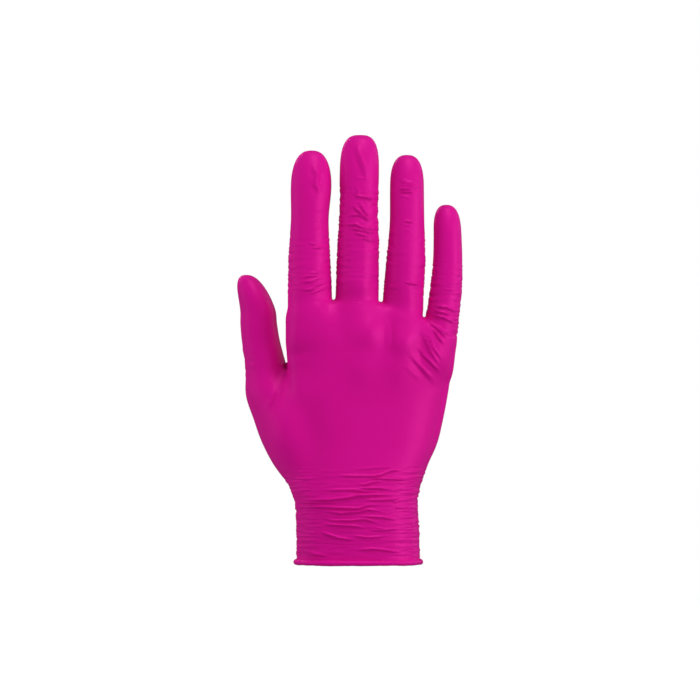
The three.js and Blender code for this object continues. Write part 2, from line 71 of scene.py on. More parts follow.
def lerp(start: Array | float, end: Array | float, share: Array | float) -> Array:
    """Return the value at a share of the way from start to end."""
    return start + (end - start) * share


def smoothstep(value: Array | float, low: float, high: float) -> Array:
    """Return 0 below low, 1 above high and a smooth rise between them."""
    share = np.clip((np.asarray(value, float) - low) / (high - low), 0.0, 1.0)
    return share * share * (3.0 - 2.0 * share)


@dataclass(frozen=True)
class SmoothTable:
    """Rows of numbers read as smooth curves, one for each column.

    The curves are piecewise cubics with no curvature at the two ends, and level beyond them.
    """

    keys: Array
    rows: Array

    def read(self, at: Array) -> Array:
        """Read every column.

        Args:
            at: Where to read, in the units of the keys.

        Returns:
            One row for each reading.
        """
        keys, rows = self.keys, self.rows
        last = len(keys) - 1
        inside = np.clip(at, keys[0], keys[-1])
        right = np.clip(np.searchsorted(keys, inside, side="right"), 1, last)
        left = right - 1
        before = np.where(left > 0, left - 1, right)
        after = np.where(right < last, right + 1, left)
        start, end = keys[left], keys[right]
        half = (end - start) / 2
        pull_left = (half / (start - keys[before]))[:, None]
        pull_right = (half / (keys[after] - end))[:, None]
        p = ((inside - start) / (end - start))[:, None]
        pp, ppp = p * p, p * p * p
        return (
            (-pull_left * ppp + 2 * pull_left * pp - pull_left * p) * rows[before]
            + ((1 + pull_left) * ppp + (-1.5 - 2 * pull_left) * pp + (-0.5 + pull_left) * p + 1) * rows[left]
            + ((-1 - pull_right) * ppp + (1.5 + pull_right) * pp + 0.5 * p) * rows[right]
            + (pull_right * ppp - pull_right * pp) * rows[after]
        )


@dataclass(frozen=True)
class Sections:
    """Sections of a form, one for each height that they were asked for."""

    x: Array
    y: Array
    half_width: Array
    half_depth: Array

    def on_spine(self, place: Array | float, z: Array) -> Array:
        """Return points on the middle line: -1 is the left edge, 0 the middle and 1 the right edge."""
        return np.stack([self.x + place * self.half_width, self.y, z], axis=-1)


class SectionCurve:
    """The sections of one form along the glove, kept at close steps so that reading them is quick."""

    STEP = 0.25
    LOW = -8.0
    HIGH = 245.0
    END_GAP = 0.001

    def __init__(self, read: Callable[[Array], Array]) -> None:
        """Keep the sections that read gives.

        Args:
            read: Gives x, y, half width and half depth for an array of heights.
        """
        heights = np.arange(self.LOW, self.HIGH, self.STEP)
        self.kept = read(heights)

    def at(self, z: Array) -> Sections:
        """Read the sections between the kept ones.

        Args:
            z: Heights.

        Returns:
            The section at each height.
        """
        place = np.clip((z - self.LOW) / self.STEP, 0, len(self.kept) - 1 - self.END_GAP)
        below = place.astype(int)
        rest = (place - below)[:, None]
        values = self.kept[below] * (1 - rest) + self.kept[below + 1] * rest
        return Sections(*values.T)


def outside_section(
    section: Sections, points: Array, squareness: float, rise: Array, end_squareness: float = ELLIPSE
) -> Array:
    """Return how far points lie outside a rounded section, about 0 on its outline.

    Args:
        section: The section at the height of each point.
        points: Points on the glove.
        squareness: More is squarer.
        rise: 0 where the form's rounded end starts, growing to 1 at the very end.
        end_squareness: The same as squareness, for the rounded end.

    Returns:
        One distance for each point, below 0 inside.
    """
    across = np.abs((points[:, 0] - section.x) / section.half_width)
    through = np.abs((points[:, 1] - section.y) / section.half_depth)
    ring = (across**squareness + through**squareness) ** (1 / squareness)
    ends = rise > 0
    whole = ring.copy()
    whole[ends] = (ring[ends] ** end_squareness + rise[ends] ** end_squareness) ** (1 / end_squareness)
    return (whole - 1) * np.minimum(section.half_width, section.half_depth)


def blend(a: Array, b: Array, width: Array) -> Array:
    """Return the union of two forms with the corner between them filled over the given width."""
    share = np.maximum(width - np.abs(a - b), 0) / width
    return np.minimum(a, b) - share * share * width / 4


@dataclass
class Digit:
    """A finger or the thumb: sections from -1, deep in the hand, over 0 at its start, to 1 at its tip."""

    x: float
    start: float
    length: float
    root: float
    width: float
    depth: float
    reach: float
    curl: float
    bluntness: float
    table: tuple[tuple[float, float, float, float, float], ...]
    cap_share: float = 0.93
    curve: SectionCurve = field(init=False, repr=False)

    # Over the lowest share of its root the digit thins out by this depth, and below its foot it is far away.
    FADE_SHARE = 0.35
    FADE_DEPTH = 4.0
    FAR = 1e3

    def __post_init__(self) -> None:
        """Work out the sections from the table of shares."""
        rows = np.array(self.table)
        shares = SmoothTable(rows[:, 0], rows[:, 1:])

        def read(z: Array) -> Array:
            """Work out sections.

            Args:
                z: Heights.

            Returns:
                The middle's x and y, the half width and the half depth at each height.
            """
            at = (z - self.start) / np.where(z < self.start, self.root, self.length)
            x, width, front, back = shares.read(at).T
            bend = self.reach + self.curl * np.maximum(at, 0) ** 2
            return np.stack(
                [
                    self.x + x * self.width,
                    bend + (front + back) / 2 * self.depth,
                    width / 2 * self.width,
                    (back - front) / 2 * self.depth,
                ],
                axis=-1,
            )

        self.curve = SectionCurve(read)

    @property
    def tip(self) -> float:
        """The height of the very tip."""
        return self.start + self.length

    @property
    def foot(self) -> float:
        """The height where the digit begins inside the hand."""
        return self.start - self.root

    @property
    def cap_length(self) -> float:
        """The length of the rounded end."""
        return self.cap_share * self.width

    @property
    def cap_start(self) -> float:
        """The height where the rounded end starts."""
        return self.tip - self.cap_length

    def outside(self, points: Array) -> Array:
        """Measure how far points lie outside the digit.

        Args:
            points: Points on the glove.

        Returns:
            One distance for each point, below 0 inside, and a large one below the foot.
        """
        z = points[:, 2]
        above = (z - self.cap_start) / self.cap_length
        below = 1 - 2 * (z - self.foot) / self.root
        rise = np.maximum(np.maximum(above, below), 0)
        value = outside_section(self.curve.at(z), points, ELLIPSE, rise, self.bluntness)
        fade = np.clip(1 - (z - self.foot) / (self.FADE_SHARE * self.root), 0, 1) ** 3
        return np.where(z < self.foot, self.FAR, value + self.FADE_DEPTH * fade)


@dataclass
class HandForm:
    """The smooth form that the film lies on, with the same sizes as the CAD solid."""

    cuff_length: float = 39.0
    cuff_width: float = 66.0
    cuff_depth: float = 46.0
    palm_length: float = 102.0
    palm_depth: float = 28.0
    thenar_length: float = 72.0
    index_width: float = 22.0
    middle_width: float = 21.5
    ring_width: float = 19.0
    little_width: float = 15.5
    thumb_width: float = 21.0
    ring_drop: float = 3.0
    little_drop: float = 15.0
    finger_gap: float = 5.0
    thumb_gap: float = 2.7
    web_rise: float = 2.0
    web_height: float = 9.0
    thumb_web_height: float = 6.0
    knuckle_length: float = 30.0
    squareness: float = 2.5
    finger_blend: float = 2.5
    thumb_blend: float = 3.0
    pad_blend: float = 9.0
    knuckle_blend: float = 5.0

    # How far the hand reaches past the middles of the index and little fingers, as shares of their widths.
    EDGE_SHARES = (0.55, 0.5)
    # How steeply the trunk's rounded end closes, and over which share of the thumb's root its blend narrows.
    END_POWER = 3.5
    ROOT_SHARE = 0.3
    # The step over which slopes are measured, a ray's least step and its halvings, and the most that a point moves.
    SLOPE_STEP = 0.05
    RAY_STEP = 0.4
    HALVINGS = 14
    LONGEST_MOVE = 1.5
    LEAST_SLOPE = 0.05
    # Share along the trunk, then how far its left, right, front and back sides have gone from the cuff to the palm.
    TRUNK = (
        (-1.0, 0.1, 0.0, 0.0, 0.0),
        (-0.5, 0.15, -0.02, 0.0, 0.0),
        (-0.15, 0.25, -0.05, 0.05, 0.0),
        (0.0, 0.53, -0.02, 0.12, 0.02),
        (0.13, 0.7, 0.165, 0.35, 0.1),
        (0.25, 0.9, 0.4, 0.6, 0.35),
        (0.38, 0.9, 0.555, 0.75, 0.6),
        (0.51, 0.9, 0.67, 0.85, 0.8),
        (0.64, 0.9, 0.755, 0.9, 0.95),
        (0.77, 1.0, 0.82, 0.95, 1.0),
        (0.9, 1.05, 0.89, 1.1, 1.15),
        (1.0, 1.0, 0.93, 1.3, 1.35),
    )
    # Share along a finger, then its front and back as shares of its depth.
    FINGER_SIDE = (
        (-1.0, -0.55, 0.4),
        (-0.6, -0.72, 0.46),
        (-0.2, -0.64, 0.52),
        (0.1, -0.52, 0.52),
        (0.33, -0.5, 0.5),
        (0.55, -0.44, 0.46),
        (0.75, -0.4, 0.5),
        (1.0, -0.3, 0.42),
    )
    # Share along the thumb, then its middle and width as shares of its width, its front and its back.
    THUMB = (
        (-1.0, 1.35, 1.5, -0.95, 0.25),
        (-0.82, 1.15, 1.78, -1.0, 0.35),
        (-0.64, 0.95, 1.92, -1.0, 0.45),
        (-0.46, 0.69, 1.84, -0.9, 0.48),
        (-0.28, 0.38, 1.63, -0.75, 0.48),
        (-0.1, 0.12, 1.14, -0.6, 0.48),
        (0.13, -0.02, 1.01, -0.52, 0.48),
        (0.42, -0.11, 0.95, -0.48, 0.5),
        (0.56, -0.125, 0.92, -0.46, 0.5),
        (0.7, -0.2, 0.87, -0.44, 0.5),
        (1.0, -0.43, 0.82, -0.36, 0.42),
    )

    def __post_init__(self) -> None:
        """Seat the digits side by side and work out the trunk's sections."""
        line = self.cuff_length + self.palm_length
        self.thumb_web = self.cuff_length + self.thenar_length
        index_x = -(self.middle_width + self.index_width) / 2 - self.finger_gap
        ring_x = (self.middle_width + self.ring_width) / 2 + self.finger_gap
        little_x = ring_x + (self.ring_width + self.little_width) / 2 + self.finger_gap
        left_share, right_share = self.EDGE_SHARES
        self.hand_left = index_x - left_share * self.index_width
        self.hand_right = little_x + right_share * self.little_width
        self.fingers = [
            self.finger(
                index_x, line, self.index_width, length=82.8, depth=19.0, bluntness=2.6,
                middles=(0.1, 0.06, 0.02, 0.01, 0.0, 0.01, 0.04, 0.05),
                widths=(1.0, 1.05, 1.08, 1.07, 1.02, 0.93, 1.0, 0.95),
            ),
            self.finger(
                0.0, line, self.middle_width, length=91.2, depth=19.5, bluntness=3.0,
                middles=(-0.1, -0.08, -0.06, -0.04, -0.02, 0.0, 0.01, 0.03),
                widths=(1.0, 1.05, 1.08, 1.07, 1.05, 0.97, 0.99, 0.96),
            ),
            self.finger(
                ring_x, line - self.ring_drop, self.ring_width, length=83.4, depth=18.0, bluntness=2.6,
                middles=(-0.2, -0.17, -0.12, -0.06, 0.01, 0.04, 0.04, 0.04),
                widths=(1.0, 1.1, 1.17, 1.15, 1.11, 0.99, 0.97, 0.95),
            ),
            self.finger(
                little_x, line - self.little_drop, self.little_width, length=68.4, depth=15.5, bluntness=2.6,
                middles=(-0.56, -0.42, -0.28, -0.16, -0.03, 0.03, 0.03, -0.01),
                widths=(1.1, 1.15, 1.18, 1.17, 1.12, 1.03, 0.98, 0.93),
            ),
        ]
        self.thumb = Digit(
            x=self.hand_left - self.thumb_gap - self.thumb_width / 2, start=self.thumb_web, length=45.6,
            root=self.thenar_length, width=self.thumb_width, depth=23.0, reach=14.0, curl=0.0, bluntness=2.5,
            table=self.THUMB,
        )
        table = np.array(self.TRUNK)
        shares = SmoothTable(table[:, 0], table[:, 1:])

        def read(z: Array) -> Array:
            """Work out the trunk's sections.

            Args:
                z: Heights.

            Returns:
                The middle's x and y, the half width and the half depth at each height.
            """
            low = z / self.cuff_length - 1
            high = (z - self.cuff_length) / self.palm_length
            left, right, front, back = shares.read(np.where(z < self.cuff_length, low, high)).T
            left_x = lerp(-self.cuff_width / 2, self.hand_left, left)
            right_x = lerp(self.cuff_width / 2, self.hand_right, right)
            front_y = -lerp(self.cuff_depth, self.palm_depth, front) / 2
            back_y = lerp(self.cuff_depth, self.palm_depth, back) / 2
            return np.stack(
                [(left_x + right_x) / 2, (front_y + back_y) / 2, (right_x - left_x) / 2, (back_y - front_y) / 2],
                axis=-1,
            )

        self.trunk = SectionCurve(read)
        self.finger_webs = self.find_webs()
        keys = [self.hand_left, *[x for x, _ in self.finger_webs], self.hand_right]
        self.tops = np.array([self.fingers[0].start, *[z for _, z in self.finger_webs], self.fingers[-1].start])
        self.web_top = SmoothTable(np.array(keys), self.tops[:, None])

    def finger(
        self, x: float, start: float, width: float, *, length: float, depth: float, bluntness: float,
        middles: tuple[float, ...], widths: tuple[float, ...],
    ) -> Digit:
        """Make one of the four fingers, which share their side view and their curl.

        Args:
            x: Its middle across the hand.
            start: The height of its web.
            width: Across the hand.
            length: From its start to its tip.
            depth: From back to palm.
            bluntness: How square its tip is.
            middles: Where its middle runs, as shares of its width.
            widths: How wide it is, as shares of its width.

        Returns:
            The finger.
        """
        table = tuple(
            (at, middle, wide, front, back)
            for (at, front, back), middle, wide in zip(self.FINGER_SIDE, middles, widths, strict=True)
        )
        return Digit(
            x=x, start=start, length=length, root=self.knuckle_length, width=width, depth=depth, reach=0.0, curl=6.0,
            bluntness=bluntness, table=table,
        )

    def find_webs(self) -> list[tuple[float, float]]:
        """Find the three webs between the fingers.

        Returns:
            The place across and the top of each.
        """
        webs = []
        for left, right in zip(self.fingers[:-1], self.fingers[1:], strict=True):
            z = (left.start + right.start) / 2 + self.web_rise
            near, far = left.curve.at(np.array([z])), right.curve.at(np.array([z]))
            x = (near.x + near.half_width + far.x - far.half_width) / 2
            webs.append((float(x[0]), z))
        return webs

    def outside(self, points: Array) -> Array:
        """Measure how far points lie outside the hand: the trunk with the thumb and the fingers blended in.

        Args:
            points: Points on the glove.

        Returns:
            One distance for each point, below 0 inside.
        """
        z = points[:, 2]
        start = self.web_top.read(points[:, 0])[:, 0] - self.web_height
        rise = np.maximum((z - start + self.web_height) / (2 * self.web_height), 0) ** self.END_POWER
        whole = outside_section(self.trunk.at(z), points, self.squareness, rise)
        at_web = smoothstep(z, self.thumb_web - self.ROOT_SHARE * self.thenar_length, self.thumb_web)
        whole = blend(whole, self.thumb.outside(points), lerp(self.pad_blend, self.thumb_blend, at_web))
        for finger in self.fingers:
            at_web = smoothstep(z, finger.foot, finger.start - self.web_height)
            whole = blend(whole, finger.outside(points), lerp(self.knuckle_blend, self.finger_blend, at_web))
        return whole

    def slope(self, points: Array) -> Array:
        """Measure how steeply the distance outside the hand grows.

        Args:
            points: Points on the glove.

        Returns:
            The gradient at each point.
        """
        step = self.SLOPE_STEP
        sides = []
        for axis in range(3):
            shift = np.zeros(3)
            shift[axis] = step
            sides.append((self.outside(points + shift) - self.outside(points - shift)) / (2 * step))
        return np.stack(sides, axis=-1)

    def cast(self, origins: Array, ways: Array) -> Array:
        """Find where rays from inside the hand leave it.

        Args:
            origins: The start of each ray.
            ways: The direction of each ray, of length 1.

        Returns:
            The point where each ray leaves.
        """
        near = np.zeros(len(origins))
        far = np.zeros(len(origins))
        values = self.outside(origins)
        going = np.flatnonzero(values < 0)
        while len(going):
            near[going] = far[going]
            far[going] += np.maximum(-values[going] / 2, self.RAY_STEP)
            values[going] = self.outside(origins[going] + ways[going] * far[going, None])
            going = going[(values[going] < 0) & (far[going] < self.palm_length)]
        for _ in range(self.HALVINGS):
            half = (near + far) / 2
            within = self.outside(origins + ways * half[:, None]) < 0
            near = np.where(within, half, near)
            far = np.where(within, far, half)
        return origins + ways * far[:, None]

    def settle(self, points: Array, rounds: int = 3) -> Array:
        """Move points straight onto the form.

        Args:
            points: Points near the form.
            rounds: How many steps are taken.

        Returns:
            The points, on the form.
        """
        for _ in range(rounds):
            slope = self.slope(points)
            away = self.outside(points) / np.maximum((slope * slope).sum(1), self.LEAST_SLOPE)
            points = points - slope * np.clip(away, -self.LONGEST_MOVE, self.LONGEST_MOVE)[:, None]
        return points


@dataclass(frozen=True)
class Ring:
    """Four rows of vertices, or of heights: front and back from left to right, left and right from front to back."""

    front: Array
    back: Array
    left: Array
    right: Array

    def loop(self) -> Array:
        """Return the rows as one closed loop."""
        return np.concatenate([self.front, self.right, self.back[::-1], self.left[::-1]])

    def part(self, first: int, last: int, left: Array, right: Array) -> Ring:
        """Return the ring between two columns, closed by the rows left and right."""
        return Ring(self.front[first : last + 1], self.back[first : last + 1], left, right)

    def change(self, other: Ring, share: float) -> Ring:
        """Return this ring's values moved a share of the way to another's."""
        pairs = zip(self.rows(), other.rows(), strict=True)
        return Ring(*[lerp(mine, theirs, share) for mine, theirs in pairs])

    def rows(self) -> tuple[Array, Array, Array, Array]:
        """Return the four rows."""
        return self.front, self.back, self.left, self.right

    @staticmethod
    def level(z: float, columns: int, sides: int) -> Ring:
        """Return a ring of one height."""
        return Ring(np.full(columns + 1, z), np.full(columns + 1, z), np.full(sides - 1, z), np.full(sides - 1, z))


@dataclass
class Cage:
    """A coarse net of quads on the hand's form, from the mouth of the cuff to the five fingertips."""

    form: HandForm
    columns: int = 3
    side_steps: int = 6
    cuff_rows: int = 20
    thenar_rows: int = 9
    knuckle_rows: int = 8
    finger_row: float = 4.2
    wall: float = 1.0
    web_wall: float = 2.2
    flattest_ray: float = 0.4
    bead_top: float = 1.9
    fold_top: float = 53.0
    cap_angles: tuple[float, ...] = (14.0, 28.0, 42.0, 56.0, 70.0, 81.0)
    plain_parts: int = 4
    knuckle_parts: int = 6
    folded_parts: int = 8
    spine_end: float = 0.45
    web_end: float = 0.8
    cuff_end: float = 0.72
    palm_end: float = 0.95

    # The fewest rows of a digit, and over which share of its length the webs' end widens into the digit's own.
    LEAST_ROWS = 4
    WEB_FADE = 0.4
    # How far back towards the thumb's middle its web lies, and over which share of its root the hand's edge moves
    # there.
    WEB_BACK = 0.75
    ROOT_SHARE = 0.3

    def __post_init__(self) -> None:
        """Start with no vertices."""
        self.origins: list[Array] = []
        self.ways: list[Array] = []
        self.walls: list[Array] = []
        self.heights: list[Array] = []
        self.quads: list[Indices] = []
        self.parts: list[Indices] = []
        self.tips: list[Indices] = []
        self.total = 0
        angles = math.pi * (np.arange(1, self.side_steps) / self.side_steps - 0.5)
        self.side_ways = np.stack([np.cos(angles), np.sin(angles), np.zeros_like(angles)], axis=-1)
        section = self.form.thumb.curve.at(np.array([self.form.thumb_web]))
        edge = float((section.x + section.half_width)[0])
        self.thumb_web_x = (edge + self.form.hand_left) / 2
        self.web_xs = [self.thumb_web_x, *[x for x, _ in self.form.finger_webs]]
        self.web_zs = [self.form.thumb_web, *[z for _, z in self.form.finger_webs]]

    def add(self, origins: Array, ways: Array, heights: Array, wall: float) -> Array:
        """Add vertices by their rays.

        Args:
            origins: The start of each ray.
            ways: The direction of each ray.
            heights: The height that each vertex counts as having in the rows above it.
            wall: The film's thickness there.

        Returns:
            The numbers of the new vertices.
        """
        self.origins.append(origins)
        self.ways.append(ways)
        self.heights.append(heights)
        self.walls.append(np.full(len(origins), wall))
        numbers = np.arange(self.total, self.total + len(origins))
        self.total += len(origins)
        return numbers

    def add_ring(self, spine: Spine, heights: Ring, tilt: float = 0.0) -> Ring:
        """Add a ring of vertices.

        Args:
            spine: Gives the points on the middle line across the form for heights and shares across.
            heights: The height of each vertex's ray.
            tilt: How far the rays tilt up, in radians.

        Returns:
            The numbers of the vertices.
        """
        columns = len(heights.front) - 1
        across = np.arange(columns + 1) / columns
        flat, up = math.cos(tilt), math.sin(tilt)
        rows = []
        for row, face in ((heights.front, -1.0), (heights.back, 1.0)):
            way = np.tile([0.0, face * flat, up], (len(row), 1))
            rows.append(self.add(spine(row, across), way, row, self.wall))
        for row, side in ((heights.left, -1.0), (heights.right, 1.0)):
            way = self.side_ways * [side * flat, flat, 0.0] + [0.0, 0.0, up]
            ends = np.full(len(row), max(side, 0.0))
            rows.append(self.add(spine(row, ends), way, row, self.wall))
        return Ring(*rows)

    def stitch(self, lower: Ring, upper: Ring, parts: int) -> None:
        """Join two rings with quads.

        Args:
            lower: The ring nearer the mouth.
            upper: The ring above it.
            parts: Into how many rows the fine skin splits the quads.
        """
        low, high = lower.loop().astype(int), upper.loop().astype(int)
        self.quads.append(np.stack([low, np.roll(low, -1), np.roll(high, -1), high], axis=-1))
        self.parts.append(np.full(len(low), parts))

    def heights_of(self, ring: Ring) -> Ring:
        """Return the heights of a ring's vertices."""
        kept = np.concatenate(self.heights)
        return Ring(*[kept[row.astype(int)] for row in ring.rows()])

    def add_web_chain(self, x: float, y: float, z: float, height: float) -> Array:
        """Add the vertices over the edge of a web, from front to back.

        Args:
            x: The web's place across.
            y: Its place from back to palm.
            z: Its top.
            height: How far below the top its rays start.

        Returns:
            The numbers of the vertices.
        """
        ways = self.side_ways[:, [2, 1, 0]]
        origins = np.tile([x, y, z - height], (len(ways), 1))
        heights = self.form.cast(origins, ways)[:, 2]
        return self.add(origins, ways, heights, self.web_wall)

    def add_digit(self, digit: Digit, base: Ring, webs: tuple[bool, bool]) -> None:
        """Add a digit from its base ring to its tip.

        Args:
            digit: The digit.
            base: The ring that it stands on.
            webs: Whether its base ends in a web on the left and on the right.
        """
        base_heights = self.heights_of(base)
        columns = len(base.front) - 1
        top = Ring.level(digit.cap_start, columns, self.side_steps)
        below = base

        def spine_between(left: float, right: float) -> Spine:
            """Return the digit's middle line, cut to the shares left and right of its half width."""
            return lambda z, share: digit.curve.at(z).on_spine(lerp(-left, right, share), z)

        rows = max(self.LEAST_ROWS, round((digit.cap_start - float(base_heights.front.mean())) / self.finger_row))
        for row in range(1, rows + 1):
            share = row / rows
            web_end = float(lerp(self.web_end, self.spine_end, smoothstep(share, 0, self.WEB_FADE)))
            left, right = (web_end if web else self.spine_end for web in webs)
            above = self.add_ring(spine_between(left, right), base_heights.change(top, share))
            self.stitch(below, above, self.plain_parts if digit is self.form.thumb else self.folded_parts)
            below = above
        middle_z = (digit.cap_start + digit.tip) / 2
        for angle in np.radians(self.cap_angles):
            end = self.spine_end * math.cos(angle)
            z = float(lerp(digit.cap_start, middle_z, math.sin(angle)))
            above = self.add_ring(spine_between(end, end), Ring.level(z, columns, self.side_steps), angle)
            self.stitch(below, above, self.plain_parts)
            below = above
        height = np.array([middle_z])
        start = digit.curve.at(height).on_spine(0.0, height)
        tip = self.add(start, np.array([[0.0, 0.0, 1.0]]), height, self.wall)
        loop = below.loop().astype(int)
        self.tips.append(np.stack([loop, np.roll(loop, -1), np.full(len(loop), tip[0])], axis=-1))

    def thumb_web_y(self, z: Array) -> Array:
        """Return how far back the web of the thumb lies."""
        rise = smoothstep(z, self.form.cuff_length, self.form.thumb_web - self.form.thumb_web_height)
        return lerp(self.form.trunk.at(z).y, self.form.thumb.curve.at(z).y, self.WEB_BACK * rise)

    def left_end(self, z: Array) -> Array:
        """Find the left end of the trunk's middle line, which moves into the thumb's root.

        Args:
            z: Heights.

        Returns:
            One point for each height.
        """
        form = self.form
        share = smoothstep(z, form.cuff_length, form.cuff_length + self.ROOT_SHARE * form.thenar_length)[:, None]
        root = form.thumb.curve.at(z).on_spine(-self.spine_end, z)
        return lerp(form.trunk.at(z).on_spine(-self.cuff_end, z), root, share)

    def right_end(self, z: Array) -> Array:
        """Find the right end of the trunk's middle line, which moves into the little finger's root.

        Args:
            z: Heights.

        Returns:
            One point for each height.
        """
        form, little = self.form, self.form.fingers[-1]
        share = smoothstep(z, little.foot, little.start - form.web_height)[:, None]
        root = little.curve.at(z).on_spine(self.spine_end, z)
        return lerp(form.trunk.at(z).on_spine(self.cuff_end, z), root, share)

    def trunk_spine(self, z: Array, share: Array) -> Array:
        """Find points on the trunk's middle line, whose columns move over to their webs on the way up.

        Args:
            z: The height of each point.
            share: Its place across, from 0 at the left end to 1 at the right.

        Returns:
            The points.
        """
        form = self.form
        parts = len(self.web_xs) + 1
        ground = np.zeros(1)
        cuff_left, cuff_right = self.left_end(ground)[0, 0], self.right_end(ground)[0, 0]
        edges = [self.left_end(z)]
        for number, (web_x, web_z) in enumerate(zip(self.web_xs, self.web_zs, strict=True)):
            cuff_x = lerp(cuff_left, cuff_right, (number + 1) / parts)
            height = form.thumb_web_height if number == 0 else form.web_height
            x = lerp(cuff_x, web_x, smoothstep(z, form.cuff_length / 2, web_z - height))
            y = self.thumb_web_y(z) if number == 0 else form.trunk.at(z).y
            edges.append(np.stack([x, y, z], axis=-1))
        edges.append(self.right_end(z))
        table = np.stack(edges)
        place = share * parts
        edge = np.minimum(place.astype(int), parts - 1)
        here = np.arange(len(z))
        points = lerp(table[edge, here], table[edge + 1, here], (place - edge)[:, None])
        points[:, 2] = z
        return points

    def palm_spine(self, z: Array, share: Array) -> Array:
        """Find points on the palm's middle line, above the thumb's web.

        Args:
            z: The height of each point.
            share: Its place across, from 0 at the left end to 1 at the right.

        Returns:
            The points.
        """
        form, index = self.form, self.form.fingers[0]
        rise = smoothstep(z, form.thumb_web, index.start - form.web_height)[:, None]
        root = index.curve.at(z).on_spine(-self.spine_end, z)
        left = lerp(form.trunk.at(z).on_spine(-self.palm_end, z), root, rise)
        first = 1 / (len(self.web_xs) + 1)
        whole = lerp(first, 1.0, share)
        beside = lerp(left, self.trunk_spine(z, np.full(len(z), 2 * first)), ((whole - first) / first)[:, None])
        return np.where((whole >= 2 * first)[:, None], self.trunk_spine(z, whole), beside)

    def build(self) -> None:
        """Lay the whole net, from the mouth up."""
        form = self.form
        columns = (len(self.web_xs) + 1) * self.columns
        thumb_line = form.thumb_web - form.thumb_web_height
        cuff = np.linspace(self.bead_top, self.fold_top, self.cuff_rows + 1)
        thenar = np.linspace(self.fold_top, thumb_line, self.thenar_rows + 1)[1:]
        rings = [
            self.add_ring(self.trunk_spine, Ring.level(float(z), columns, self.side_steps))
            for z in np.concatenate([cuff, thenar])
        ]
        for number, (lower, upper) in enumerate(zip(rings[:-1], rings[1:], strict=True)):
            self.stitch(lower, upper, self.folded_parts if number <= self.cuff_rows else self.plain_parts)
        self.mouth = rings[0].loop().astype(int)

        row = rings[-1]
        web_y = float(self.thumb_web_y(np.array([thumb_line]))[0])
        chain = self.add_web_chain(self.thumb_web_x, web_y, form.thumb_web, form.thumb_web_height)
        self.add_digit(form.thumb, row.part(0, self.columns, row.left, chain), (False, True))

        across = columns - self.columns
        parting = SmoothTable(np.linspace(0.0, 1.0, len(form.tops)), form.tops[:, None] - form.web_height)
        line = parting.read(np.arange(across + 1) / across)[:, 0]
        sides = self.side_steps - 1
        goal = Ring(line, line, np.full(sides, line[0]), np.full(sides, line[-1]))
        ring = row.part(self.columns, columns, chain, row.right)
        foot = self.heights_of(ring)
        for step in range(1, self.knuckle_rows + 1):
            above = self.add_ring(self.palm_spine, foot.change(goal, step / self.knuckle_rows))
            self.stitch(ring, above, self.knuckle_parts)
            ring = above

        chains = []
        for x, z in form.finger_webs:
            y = float(form.trunk.at(np.array([z - form.web_height])).y[0])
            chains.append(self.add_web_chain(x, y, z, form.web_height))
        walls = [ring.left, *chains, ring.right]
        for number, finger in enumerate(form.fingers):
            first = number * self.columns
            base = ring.part(first, first + self.columns, walls[number], walls[number + 1])
            self.add_digit(finger, base, (finger is not form.fingers[0], finger is not form.fingers[-1]))

    def points(self) -> tuple[Array, Array]:
        """Cast the rays.

        Returns:
            The vertices of the outer skin, and the way from each through the film.
        """
        ways = np.concatenate(self.ways)
        outer = self.form.cast(np.concatenate(self.origins), ways)
        slope = self.form.slope(outer)
        slope /= np.linalg.norm(slope, axis=1, keepdims=True)
        square_on = np.maximum((slope * ways).sum(1), self.flattest_ray)
        return outer, -ways * (np.concatenate(self.walls) / square_on)[:, None]


